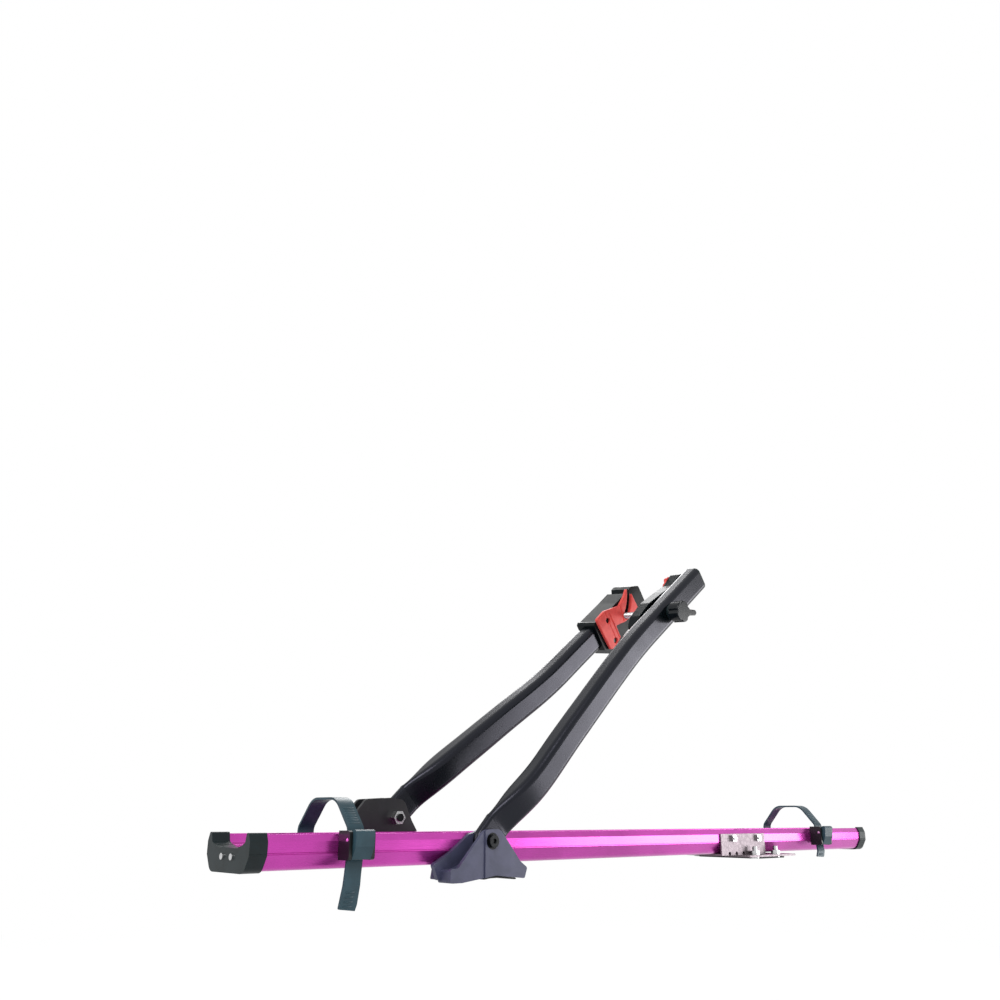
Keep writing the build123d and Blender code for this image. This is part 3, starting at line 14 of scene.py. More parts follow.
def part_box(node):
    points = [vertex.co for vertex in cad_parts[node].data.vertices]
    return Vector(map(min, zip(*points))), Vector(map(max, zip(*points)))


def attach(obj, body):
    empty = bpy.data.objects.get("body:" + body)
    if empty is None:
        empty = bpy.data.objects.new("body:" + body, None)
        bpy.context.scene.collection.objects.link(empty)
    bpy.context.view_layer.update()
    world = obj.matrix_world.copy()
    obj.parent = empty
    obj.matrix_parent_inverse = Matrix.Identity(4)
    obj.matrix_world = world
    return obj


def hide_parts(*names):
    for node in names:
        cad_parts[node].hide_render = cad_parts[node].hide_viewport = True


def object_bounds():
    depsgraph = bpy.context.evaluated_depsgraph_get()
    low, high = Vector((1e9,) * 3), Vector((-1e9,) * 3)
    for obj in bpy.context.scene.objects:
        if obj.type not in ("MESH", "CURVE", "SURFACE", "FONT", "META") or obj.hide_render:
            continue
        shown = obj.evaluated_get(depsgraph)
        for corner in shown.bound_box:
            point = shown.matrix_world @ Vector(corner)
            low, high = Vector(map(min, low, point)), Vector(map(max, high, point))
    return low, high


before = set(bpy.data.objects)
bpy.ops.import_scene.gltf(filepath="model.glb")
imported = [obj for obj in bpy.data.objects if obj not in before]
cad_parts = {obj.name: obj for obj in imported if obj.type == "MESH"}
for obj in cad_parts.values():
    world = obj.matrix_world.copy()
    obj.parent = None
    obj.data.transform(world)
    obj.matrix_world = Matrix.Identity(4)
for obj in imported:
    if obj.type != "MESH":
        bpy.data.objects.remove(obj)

BOX_AT_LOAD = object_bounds()
MM = 0.001
EDGE_ANGLE = 35.0
LOG = logging.getLogger("carrier")
Pair = Tuple[float, float]
Triple = Tuple[float, float, float]
Colour = Tuple[float, float, float, float]
LENGTHWISE = Vector((1.0, 0.0, 0.0))
NEAR_SIDE = Vector((0.0, -1.0, 0.0))
UPWARD = Vector((0.0, 0.0, 1.0))


def linear(colour: str) -> Colour:
    """Turn an sRGB hex value into linear light.

    Args:
        colour: six hex digits.

    Returns:
        Red, green, blue and an alpha of one.
    """
    def channel(start: int) -> float:
        """One channel, decoded from sRGB."""
        value = int(colour[start:start + 2], 16) / 255.0
        return value / 12.92 if value <= 0.04045 else ((value + 0.055) / 1.055) ** 2.4

    return channel(0), channel(2), channel(4), 1.0


def per_metre(size: float) -> float:
    """Turn a pattern's size in millimetres into a texture's scale.

    Args:
        size: the size in millimetres.

    Returns:
        How often it fits in a metre.
    """
    return 1 / (size * MM)


def add(tree: bpy.types.NodeTree, kind: str, settings: Optional[Dict] = None,
        links: Optional[Dict] = None) -> bpy.types.Node:
    """Add a node with its settings and links.

    Args:
        tree: the node tree it goes into.
        kind: Blender's name for the node.
        settings: attribute or input names and their values.
        links: input names and the output sockets that feed them.

    Returns:
        The new node.
    """
    node = tree.nodes.new(kind)
    for name, value in (settings or {}).items():
        if isinstance(name, int) or name in node.inputs:
            node.inputs[name].default_value = value
        else:
            setattr(node, name, value)
    for name, source in (links or {}).items():
        tree.links.new(source, node.inputs[name])
    return node


def seen(tree: bpy.types.NodeTree) -> bpy.types.NodeSocket:
    """Tell the camera's own and mirrored rays from the rays that light the object.

    Args:
        tree: the node tree that asks.

    Returns:
        A value that is one for those rays.
    """
    path = add(tree, "ShaderNodeLightPath")
    either = add(tree, "ShaderNodeMath", {"operation": "MAXIMUM"},
                 {0: path.outputs["Is Camera Ray"], 1: path.outputs["Is Glossy Ray"]})
    return either.outputs[0]


class Surface(Enum):
    """How strongly a mould's texture shows on the plastic."""

    POLISHED = 0.02
    SATIN = 0.10
    GRAINED = 0.28


@dataclass(frozen=True)
class Skin:
    """The pattern values that drive a finish."""

    colour: bpy.types.NodeSocket
    gloss: bpy.types.NodeSocket
    relief: bpy.types.NodeSocket


@dataclass(frozen=True)
class Finish:
    """What every finish shares: two close colours, a gloss and a relief that patterns vary."""

    name: str
    colour: str
    second: str
    roughness: float
    blend: ClassVar[Pair] = (0.35, 0.65)
    gloss_spread: ClassVar[float] = 0.08
    least_roughness: ClassVar[float] = 0.02
    relief: ClassVar[float] = 0.02
    relief_strength: ClassVar[float] = 0.3

    def pattern(self, tree: bpy.types.NodeTree, place: bpy.types.NodeSocket) -> Skin:
        """Add the finish's patterns; each finish has its own."""
        raise NotImplementedError

    def sockets(self) -> Dict:
        """Give the shader values that are the same all over the surface."""
        return {}

    def strength(self) -> float:
        """Give how much of the relief shows."""
        return self.relief_strength

    def make(self) -> bpy.types.Material:
        """Build the material from the finish's patterns.

        Returns:
            The material.
        """
        material = bpy.data.materials.new(self.name)
        material.use_nodes = True
        material.diffuse_color = linear(self.colour)
        tree = material.node_tree
        tree.nodes.clear()
        place = add(tree, "ShaderNodeTexCoord")
        skin = self.pattern(tree, place.outputs["Object"])
        ramp = add(tree, "ShaderNodeValToRGB", links={"Fac": skin.colour})
        for stop, spot, colour in zip(ramp.color_ramp.elements, self.blend, (self.colour, self.second)):
            stop.position = spot
            stop.color = linear(colour)
        gloss = add(tree, "ShaderNodeMapRange", {
            "To Min": max(self.least_roughness, self.roughness - self.gloss_spread),
            "To Max": min(1.0, self.roughness + self.gloss_spread),
        }, {"Value": skin.gloss})
        bump = add(tree, "ShaderNodeBump", {"Strength": self.strength(), "Distance": self.relief * MM},
                   {"Height": skin.relief})
        shader = add(tree, "ShaderNodeBsdfPrincipled", self.sockets(), {
            "Base Color": ramp.outputs["Color"],
            "Roughness": gloss.outputs["Result"],
            "Normal": bump.outputs["Normal"],
        })
        add(tree, "ShaderNodeOutputMaterial", links={"Surface": shader.outputs[0]})
        return material


@dataclass(frozen=True)
class AnodisedExtrusion(Finish):
    """Dyed anodised aluminium, drawn through a die: a metal glow with fine lines along its length."""

    # Real die lines lie about 0.1 mm apart, too fine to show here, so they are drawn five times as wide.
    line_width: float = 0.5
    line_length: float = 60.0
    cloud: float = 90.0
    gloss_spread: ClassVar[float] = 0.07
    relief: ClassVar[float] = 0.03
    relief_strength: ClassVar[float] = 0.35

    def pattern(self, tree: bpy.types.NodeTree, place: bpy.types.NodeSocket) -> Skin:
        """Add die lines along X for the gloss, and soft clouds in the dye.

        Args:
            tree: the material's tree.
            place: object coordinates in metres.

        Returns:
            The pattern values.
        """
        wide = per_metre(self.line_width)
        stretch = add(tree, "ShaderNodeMapping", {"Scale": (per_metre(self.line_length), wide, wide)},
                      {"Vector": place})
        lines = add(tree, "ShaderNodeTexNoise", {"Scale": 1.0, "Detail": 2.0}, {"Vector": stretch.outputs[0]})
        cloud = add(tree, "ShaderNodeTexNoise", {"Scale": per_metre(self.cloud), "Detail": 3.0},
                    {"Vector": place})
        return Skin(cloud.outputs["Fac"], lines.outputs["Fac"], lines.outputs["Fac"])

    def sockets(self) -> Dict:
        """Give the metal body under its clear oxide layer."""
        return {"Metallic": 0.80, "Coat Weight": 0.35, "Coat Roughness": 0.18}


@dataclass(frozen=True)
class Moulding(Finish):
    """Injection-moulded plastic: an even body colour whose sheen comes from the mould's texture."""

    # Real mould grain is about 0.3 mm wide, too fine to show here, so it is drawn up to three times as wide.
    surface: Surface = Surface.SATIN
    grain: float = 0.9
    shine: float = 0.30
    flow: float = 24.0
    gloss_spread: ClassVar[float] = 0.06
    relief: ClassVar[float] = 0.12

    def pattern(self, tree: bpy.types.NodeTree, place: bpy.types.NodeSocket) -> Skin:
        """Add pebbled grain for the relief, and faint flow marks in the colour and the gloss.

        Args:
            tree: the material's tree.
            place: object coordinates in metres.

        Returns:
            The pattern values.
        """
        pebble = add(tree, "ShaderNodeTexVoronoi", {"Scale": per_metre(self.grain), "feature": "SMOOTH_F1"},
                     {"Vector": place})
        settings = {"Scale": per_metre(self.flow), "Detail": 4.0, "Distortion": 0.6}
        flow = add(tree, "ShaderNodeTexNoise", settings, {"Vector": place})
        return Skin(flow.outputs["Fac"], flow.outputs["Fac"], pebble.outputs["Distance"])

    def sockets(self) -> Dict:
        """Give a nylon's refraction and the part's own shine."""
        return {"IOR": 1.50, "Specular IOR Level": self.shine}

    def strength(self) -> float:
        """Give the mould texture's own strength."""
        return self.surface.value


@dataclass(frozen=True)
class PowderCoat(Finish):
    """Baked powder on steel tube: satin, with the faint ripple of orange peel and a lilac sheen."""

    peel: float = 2.2
    scuff: float = 38.0
    sheen: str = "CDCAE0"
    relief: ClassVar[float] = 0.08
    relief_strength: ClassVar[float] = 0.25

    def pattern(self, tree: bpy.types.NodeTree, place: bpy.types.NodeSocket) -> Skin:
        """Add a low ripple, and scuffs that change the colour and the gloss a little.

        Args:
            tree: the material's tree.
            place: object coordinates in metres.

        Returns:
            The pattern values.
        """
        ripple = add(tree, "ShaderNodeTexNoise", {"Scale": per_metre(self.peel), "Detail": 1.0},
                     {"Vector": place})
        settings = {"Scale": per_metre(self.scuff), "Detail": 6.0, "Roughness": 0.7}
        scuff = add(tree, "ShaderNodeTexNoise", settings, {"Vector": place})
        return Skin(scuff.outputs["Fac"], scuff.outputs["Fac"], ripple.outputs["Fac"])

    def sockets(self) -> Dict:
        """Give the coat's refraction and the colour of its sheen."""
        return {"IOR": 1.52, "Specular IOR Level": 0.38, "Specular Tint": linear(self.sheen)}


@dataclass(frozen=True)
class ZincPlate(Finish):
    """Bright zinc on steel: silver with a cloudy, slightly mottled skin."""

    # The real haze is about 0.2 mm wide, too fine to show here, so it is drawn seven times as wide.
    mottle: float = 6.0
    haze: float = 1.4
    haze_share: float = 0.6
    blend: ClassVar[Pair] = (0.2, 0.8)

    def pattern(self, tree: bpy.types.NodeTree, place: bpy.types.NodeSocket) -> Skin:
        """Add mottled cells, clouded by a fine haze that also makes the relief.

        Args:
            tree: the material's tree.
            place: object coordinates in metres.

        Returns:
            The pattern values.
        """
        cells = add(tree, "ShaderNodeTexVoronoi", {"Scale": per_metre(self.mottle)}, {"Vector": place})
        haze = add(tree, "ShaderNodeTexNoise", {"Scale": per_metre(self.haze), "Detail": 3.0},
                   {"Vector": place})
        both = add(tree, "ShaderNodeMix", {"data_type": "FLOAT", 0: self.haze_share},
                   {2: cells.outputs["Distance"], 3: haze.outputs["Fac"]})
        return Skin(both.outputs[0], both.outputs[0], haze.outputs["Fac"])

    def sockets(self) -> Dict:
        """Give a bare metal."""
        return {"Metallic": 1.0}


@dataclass(frozen=True)
class Rubber(Finish):
    """Moulded rubber: matt, slightly uneven, with a dusting of bloom."""

    # The real grit is about 0.3 mm wide, too fine to show here, so it is drawn five times as wide.
    grain: float = 1.6
    bloom: float = 9.0
    gloss_spread: ClassVar[float] = 0.05
    relief: ClassVar[float] = 0.12
    relief_strength: ClassVar[float] = 0.35

    def pattern(self, tree: bpy.types.NodeTree, place: bpy.types.NodeSocket) -> Skin:
        """Add soft grain for the relief, and bloom in the colour and the gloss.

        Args:
            tree: the material's tree.
            place: object coordinates in metres.

        Returns:
            The pattern values.
        """
        settings = {"Scale": per_metre(self.bloom), "Detail": 5.0, "Roughness": 0.6}
        bloom = add(tree, "ShaderNodeTexNoise", settings, {"Vector": place})
        grit = add(tree, "ShaderNodeTexNoise", {"Scale": per_metre(self.grain), "Detail": 2.0},
                   {"Vector": place})
        return Skin(bloom.outputs["Fac"], bloom.outputs["Fac"], grit.outputs["Fac"])

    def sockets(self) -> Dict:
        """Give rubber's refraction, with a low sheen at its edges."""
        return {"IOR": 1.52, "Specular IOR Level": 0.30, "Sheen Weight": 0.12}


@dataclass(frozen=True)
class TurnedMetal(Finish):
    """Turned brass: warm metal, finely broken by the tool's marks."""

    # Real tool marks are about 0.1 mm wide, too fine to show here, so they are drawn six times as wide.
    mark: float = 0.6

    def pattern(self, tree: bpy.types.NodeTree, place: bpy.types.NodeSocket) -> Skin:
        """Add fine noise that stands for the tool's marks.

        Args:
            tree: the material's tree.
            place: object coordinates in metres.

        Returns:
            The pattern values.
        """
        marks = add(tree, "ShaderNodeTexNoise", {"Scale": per_metre(self.mark), "Detail": 2.0},
                    {"Vector": place})
        return Skin(*[marks.outputs["Fac"]] * 3)

    def sockets(self) -> Dict:
        """Give a bare metal."""
        return {"Metallic": 1.0}


@dataclass(frozen=True)
class BlackOxide(Finish):
    """Blackened steel: dark, oily and close to smooth, so that it shows a crisp highlight."""

    # Real speckle is about 0.2 mm wide, too fine to show here, so it is drawn six times as wide.
    speckle: float = 1.2

    def pattern(self, tree: bpy.types.NodeTree, place: bpy.types.NodeSocket) -> Skin:
        """Add fine speckle in the colour, the gloss and the relief.

        Args:
            tree: the material's tree.
            place: object coordinates in metres.

        Returns:
            The pattern values.
        """
        dots = add(tree, "ShaderNodeTexNoise", {"Scale": per_metre(self.speckle), "Detail": 3.0},
                   {"Vector": place})
        return Skin(*[dots.outputs["Fac"]] * 3)

    def sockets(self) -> Dict:
        """Give steel half hidden under its oxide."""
        return {"Metallic": 0.55, "Specular IOR Level": 0.40}


@dataclass(frozen=True)
class Palette:
    """Every finish on the carrier, built once."""

    tray: bpy.types.Material
    cap: bpy.types.Material
    foot: bpy.types.Material
    bracket: bpy.types.Material
    arm: bpy.types.Material
    jaw: bpy.types.Material
    pad: bpy.types.Material
    knob: bpy.types.Material
    strap: bpy.types.Material
    buckle: bpy.types.Material
    zinc: bpy.types.Material
    bolt: bpy.types.Material
    black: bpy.types.Material
    rubber: bpy.types.Material
    brass: bpy.types.Material
    bush: bpy.types.Material


def mix_palette() -> Palette:
    """Build the finishes, with colours matched to the object.

    Returns:
        The palette.
    """
    return Palette(
        # Dyed aluminium gives a deep magenta that breaks into pale pink streaks along the channel.
        tray=AnodisedExtrusion("tray_anodised_aluminium", "C23CA8", "AC3194", 0.27).make(),
        # Plain nylon gives a dark teal black whose broad soft highlight shows the cap's chamfers.
        cap=Moulding("end_cap_nylon", "0E1B1E", "0A1517", 0.36, grain=0.8, shine=0.22).make(),
        # Glass fibre in nylon gives a slate grey with a grained, dusty face.
        foot=Moulding("foot_glass_filled_nylon", "42435A", "383A4E", 0.40, Surface.GRAINED).make(),
        # The same nylon in black gives a dull face that stays dark behind the arms.
        bracket=Moulding("bracket_glass_filled_nylon", "15161A", "101114", 0.42, Surface.GRAINED).make(),
        # Baked powder gives a near black tube with a lilac grey sheen down the side that faces the light.
        arm=PowderCoat("arm_satin_powder_coat", "040A0C", "03070A", 0.26).make(),
        # Nylon with little shine gives a head that reads as one dark block behind its pad.
        jaw=Moulding("jaw_nylon", "081113", "060C0E", 0.34, grain=0.8, shine=0.12).make(),
        # Coral rubber gives the only warm accent: matt, with a soft roll of light at its edges.
        pad=Rubber("pad_coral_rubber", "D2473F", "C23A36", 0.50).make(),
        # A polished mould gives the knob crisp lights on its lobes.
        knob=Moulding("knob_polished_nylon", "0D1216", "0A0D11", 0.20, Surface.POLISHED, 0.8, 0.22).make(),
        # Tough flexible plastic gives the straps a blue grey that is lighter than the black parts.
        strap=Moulding("strap_thermoplastic", "2C434C", "253941", 0.38, grain=1.0, shine=0.22).make(),
        # Plain black nylon sets the buckle off from its strap.
        buckle=Moulding("buckle_nylon", "0E1112", "0A0C0D", 0.36, grain=0.8).make(),
        # Zinc on a pressed plate gives a pale, slightly pink silver with cloudy patches.
        zinc=ZincPlate("zinc_plated_steel", "857B80", "71686D", 0.50).make(),
        # Zinc on turned fasteners gives a brighter silver with finer patches.
        bolt=ZincPlate("zinc_plated_fastener", "D3D3D2", "B4B5B8", 0.26, 2.0).make(),
        # Oiled black steel gives the pivot bolts a dark face with one small bright light.
        black=BlackOxide("blackened_steel", "16181B", "0D0E10", 0.24).make(),
        # Black rubber gives the bar pads a dead matt face.
        rubber=Rubber("bar_pad_rubber", "101012", "17171A", 0.70).make(),
        # Brass gives a warm yellow glint inside the knob.
        brass=TurnedMetal("turned_brass", "C9A35A", "B58E48", 0.30).make(),
        # Acetal gives the bushes a milky white rim round the pivots.
        bush=Moulding("bearing_acetal", "D8D6CE", "CFCDC4", 0.40, Surface.POLISHED, 0.8).make(),
    )


def paint(material: bpy.types.Material, names: Iterable[str]) -> None:
    """Give CAD nodes a finish.

    Args:
        material: the finish.
        names: the nodes.
    """
    for name in names:
        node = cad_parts[name]
        node.data.materials.clear()
        node.data.materials.append(material)
        LOG.info("%s dressed in %s", name, material.name)


def soften(names: Iterable[str], width: float, segments: int = 2) -> None:
    """Break the sharp edges of CAD nodes, as moulding or tumbling does.

    Args:
        names: the nodes.
        width: the edge break in millimetres.
        segments: faces across each break.
    """
    for name in names:
        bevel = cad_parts[name].modifiers.new("edge_break", "BEVEL")
        bevel.width = width * MM
        bevel.segments = segments
        bevel.limit_method = "ANGLE"
        bevel.angle_limit = math.radians(EDGE_ANGLE)
        bevel.use_clamp_overlap = True
        bevel.harden_normals = False


@dataclass(frozen=True)
class HeadFrame:
    """Where an arm holds its clamp head, in millimetres and degrees from the arm's pivot."""

    pivot: Triple
    tilt: float
    reach: float
    rise: float
    angle: float = 40.0

    def matrix(self) -> Matrix:
        """Work out the head's place.

        Returns:
            Its matrix: X along the tube, Y across it and Z to the near side.
        """
        lean, turn = math.radians(self.tilt), math.radians(self.angle)
        drop, lift = math.sin(lean), math.cos(lean)
        along = Vector((math.cos(turn), -drop * math.sin(turn), lift * math.sin(turn)))
        across = Vector((-math.sin(turn), -drop * math.cos(turn), lift * math.cos(turn)))
        toward = Vector((0.0, -lift, -drop))
        matrix = Matrix((along, across, toward)).transposed().to_4x4()
        x, y, z = self.pivot
        matrix.translation = Vector((x + self.reach, y - self.rise * drop, z + self.rise * lift)) * MM
        return matrix


NEAR_HEAD = HeadFrame(pivot=(0.0, -60.2, 48.1), tilt=5.2, reach=355.1, rise=345.4)
FAR_HEAD = HeadFrame(pivot=(-66.0, 56.0, 76.0), tilt=7.6, reach=421.1, rise=330.7)


def new_piece(name: str, mesh: bpy.types.Mesh, material: bpy.types.Material, body: str,
              node: str) -> bpy.types.Object:
    """Put a piece in the scene in place of a CAD node.

    Args:
        name: what the piece is called.
        mesh: its mesh.
        material: its finish.
        body: the body it rides on.
        node: the node that it stands for.

    Returns:
        The piece.
    """
    mesh.materials.clear()
    mesh.materials.append(material)
    mesh.shade_smooth()
    piece = bpy.data.objects.new(name, mesh)
    bpy.context.scene.collection.objects.link(piece)
    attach(piece, body)
    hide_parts(node)
    LOG.info("%s built for %s", name, node)
    return piece


def reshape(node: str, modifiers: Sequence[Tuple[str, Dict]]) -> bpy.types.Mesh:
    """Copy a node's mesh and run it through modifiers.

    Args:
        node: the CAD node.
        modifiers: each modifier's kind and settings.

    Returns:
        A new mesh; the node's own stays as it is.
    """
    copy = bpy.data.objects.new("copy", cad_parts[node].data.copy())
    bpy.context.scene.collection.objects.link(copy)
    for kind, settings in modifiers:
        step = copy.modifiers.new(kind.lower(), kind)
        for name, value in settings.items():
            setattr(step, name, value)
    graph = bpy.context.evaluated_depsgraph_get()
    mesh = bpy.data.meshes.new_from_object(copy.evaluated_get(graph))
    bpy.data.objects.remove(copy)
    return mesh


@dataclass(frozen=True)
class Groove:
    """A line pressed into a pad's face, in the millimetres of its head."""

    start: Pair
    end: Pair
    width: float
    depth: float

    def reach(self, x: float, y: float) -> float:
        """How deep the groove is at a point.

        Args:
            x: place along the tube.
            y: place across it.

        Returns:
            The depth in millimetres.
        """
        start, end, point = Vector(self.start), Vector(self.end), Vector((x, y))
        run = end - start
        share = max(0.0, min(1.0, (point - start).dot(run) / run.length_squared))
        side = (point - start - run * share).length / (self.width / 2)
        return self.depth * math.cos(min(side, 1.0) * math.pi / 2) ** 2


@dataclass(frozen=True)
class SoftMoulding:
    """A rubber piece made in full: rounded all over as it leaves its mould, with its grooves."""

    node: str
    name: str
    body: str
    slot: str
    cell: float = 0.8
    rounding: int = 4
    smoothing: float = 0.5
    head: Optional[HeadFrame] = None
    face: float = 0.0
    grooves: Tuple[Groove, ...] = ()

    def build(self, material: bpy.types.Material) -> None:
        """Make the piece.

        Args:
            material: its finish.
        """
        mesh = reshape(self.node, [
            ("REMESH", {"mode": "VOXEL", "voxel_size": self.cell * MM}),
            ("SMOOTH", {"factor": self.smoothing, "iterations": self.rounding}),
        ])
        self.press(mesh)
        new_piece(self.name, mesh, material, self.body, self.node)

    def press(self, mesh: bpy.types.Mesh) -> None:
        """Press the grooves into the face.

        Args:
            mesh: the pad's mesh.
        """
        if not self.grooves:
            return
        place = self.head.matrix()
        back = place.inverted()
        toward = place.to_3x3() @ UPWARD
        for vertex in mesh.vertices:
            x, y, z = back @ vertex.co / MM
            if z > self.face:
                depth = max(groove.reach(x, y) for groove in self.grooves)
                vertex.co -= toward * depth * MM


# Rings of a bar from its sunk foot to its top: share of the width, share of the height.
BAR_RING_SHARES = ((1.0, -0.5), (1.0, 0.0), (0.45, 1.0))


def add_bar(form: bmesh.types.BMesh, middle: Vector, along: Vector, across: Vector, out: Vector,
            size: Triple) -> None:
    """Add a low bar with sloping sides to a mesh.

    Args:
        form: the mesh that it joins.
        middle: the middle of its foot.
        along: the way of its length.
        across: the way of its width.
        out: the way that it stands up.
        size: its length, width and height.
    """
    length, width, height = size
    rings = []
    for share, lift in BAR_RING_SHARES:
        ring = []
        for i, j in ((-1, -1), (1, -1), (1, 1), (-1, 1)):
            end = i * (length - (1 - share) * width) / 2
            spot = middle + along * end + across * (j * width * share / 2) + out * (lift * height)
            ring.append(form.verts.new(spot * MM))
        rings.append(ring)
    for low, high in zip(rings, rings[1:]):
        for i in range(4):
            form.faces.new((low[i], low[(i + 1) % 4], high[(i + 1) % 4], high[i]))
    form.faces.new(rings[-1])
    form.faces.new(rings[0][::-1])


@dataclass
class WheelTray:
    """The channel, its end caps and their screws."""

    edge: float = 0.25

    def dress(self, finishes: Palette) -> None:
        """Assign the tray's finishes.

        Args:
            finishes: the palette.
        """
        paint(finishes.tray, ["wheel_tray"])
        paint(finishes.cap, ["front_end_cap", "rear_end_cap"])
        paint(finishes.bolt, ["end_cap_screws"])
        soften(["front_end_cap", "rear_end_cap"], self.edge)


@dataclass
class FootAndMounts:
    """The near foot, what ties it to the tray, and the far bracket."""

    edge: float = 0.6

    def dress(self, finishes: Palette) -> None:
        """Assign the foot's and the bracket's finishes.

        Args:
            finishes: the palette.
        """
        paint(finishes.foot, ["foot_body"])
        paint(finishes.bracket, ["far_bracket"])
        paint(finishes.cap, ["front_bar_block"])
        SoftMoulding("foot_saddle_pad", "foot_grip_rubber", "tray", "rubber", 0.7, 2).build(finishes.rubber)
        paint(finishes.zinc, ["foot_cross_plate"])
        paint(finishes.bolt, ["slot_bolts", "slot_nuts", "plate_screws"])
        paint(finishes.bolt, ["far_bracket_screws", "far_pivot_nut"])
        paint(finishes.black, ["near_pivot_bolt", "near_pivot_washer", "far_pivot_bolt"])
        paint(finishes.bush, ["near_pivot_bush", "far_pivot_bush"])
        soften(["foot_body", "far_bracket", "front_bar_block"], self.edge)


@dataclass
class ClampArms:
    """Both arms, their jaws and pads."""

    edge: float = 0.8
    pads: Tuple[SoftMoulding, ...] = (
        SoftMoulding("near_jaw_pad", "near_pad_rubber", "near_arm", "pad"),
        SoftMoulding("far_jaw_pad", "far_pad_rubber", "far_arm", "pad", head=FAR_HEAD, face=24.0, grooves=(
            Groove((-35.0, 24.0), (-35.0, -24.0), 3.2, 1.8),
            Groove((-44.0, 30.0), (-44.0, -22.0), 2.6, 1.1),
            Groove((-4.8, 20.0), (-10.4, -4.0), 3.6, 1.5),
        )),
    )

    def dress(self, finishes: Palette) -> None:
        """Assign the arms' finishes and make their pads.

        Args:
            finishes: the palette.
        """
        paint(finishes.arm, ["near_arm", "far_arm"])
        paint(finishes.cap, ["near_arm_end_plug"])
        paint(finishes.jaw, ["near_jaw_body", "far_jaw"])
        for pad in self.pads:
            pad.build(finishes.pad)
        paint(finishes.bolt, ["near_jaw_screws"])
        paint(finishes.black, ["far_pad_screws"])
        soften(["near_jaw_body", "far_jaw"], self.edge, 3)


@dataclass
class ClampScrew:
    """The rod with its thread, its nut and the knob, in millimetres along the near head's own axis."""

    edge: float = 0.5
    diameter: float = 10.0
    pitch: float = 3.0
    depth: float = 1.1
    start: float = -163.0
    end: float = 37.3
    sides: int = 24
    rings_per_turn: int = 6

    def thread(self, material: bpy.types.Material) -> None:
        """Wind the thread's ridge and root round the rod.

        Args:
            material: its finish.
        """
        form = bmesh.new()
        place = NEAR_HEAD.matrix()
        count = int((self.end - self.start) / self.pitch * self.rings_per_turn)
        rings = []
        for i in range(count + 1):
            z = self.start + (self.end - self.start) * i / count
            chamfer = max(0.0, 1.0 - (z - self.start) / self.depth) * self.depth / 2
            ring = []
            for k in range(self.sides):
                turn = k / self.sides
                ridge = 0.5 + 0.5 * math.cos(2 * math.pi * (z / self.pitch - turn))
                radius = self.diameter / 2 - self.depth * (1 - ridge) - chamfer
                angle = 2 * math.pi * turn
                spot = Vector((radius * math.cos(angle), radius * math.sin(angle), z)) * MM
                ring.append(form.verts.new(place @ spot))
            rings.append(ring)
        for low, high in zip(rings, rings[1:]):
            for k in range(self.sides):
                after = (k + 1) % self.sides
                form.faces.new((low[k], low[after], high[after], high[k]))
        form.faces.new(rings[0][::-1])
        form.faces.new(rings[-1])
        mesh = bpy.data.meshes.new("clamp_thread")
        form.to_mesh(mesh)
        form.free()
        new_piece("clamp_thread", mesh, material, "knob", "clamp_rod")

    def dress(self, finishes: Palette) -> None:
        """Assign the screw's finishes and wind its thread.

        Args:
            finishes: the palette.
        """
        self.thread(finishes.bolt)
        paint(finishes.bolt, ["clamp_nut"])
        paint(finishes.cap, ["thrust_washer"])
        paint(finishes.knob, ["clamp_knob"])
        paint(finishes.brass, ["knob_insert"])
        soften(["clamp_knob", "clamp_nut"], self.edge)


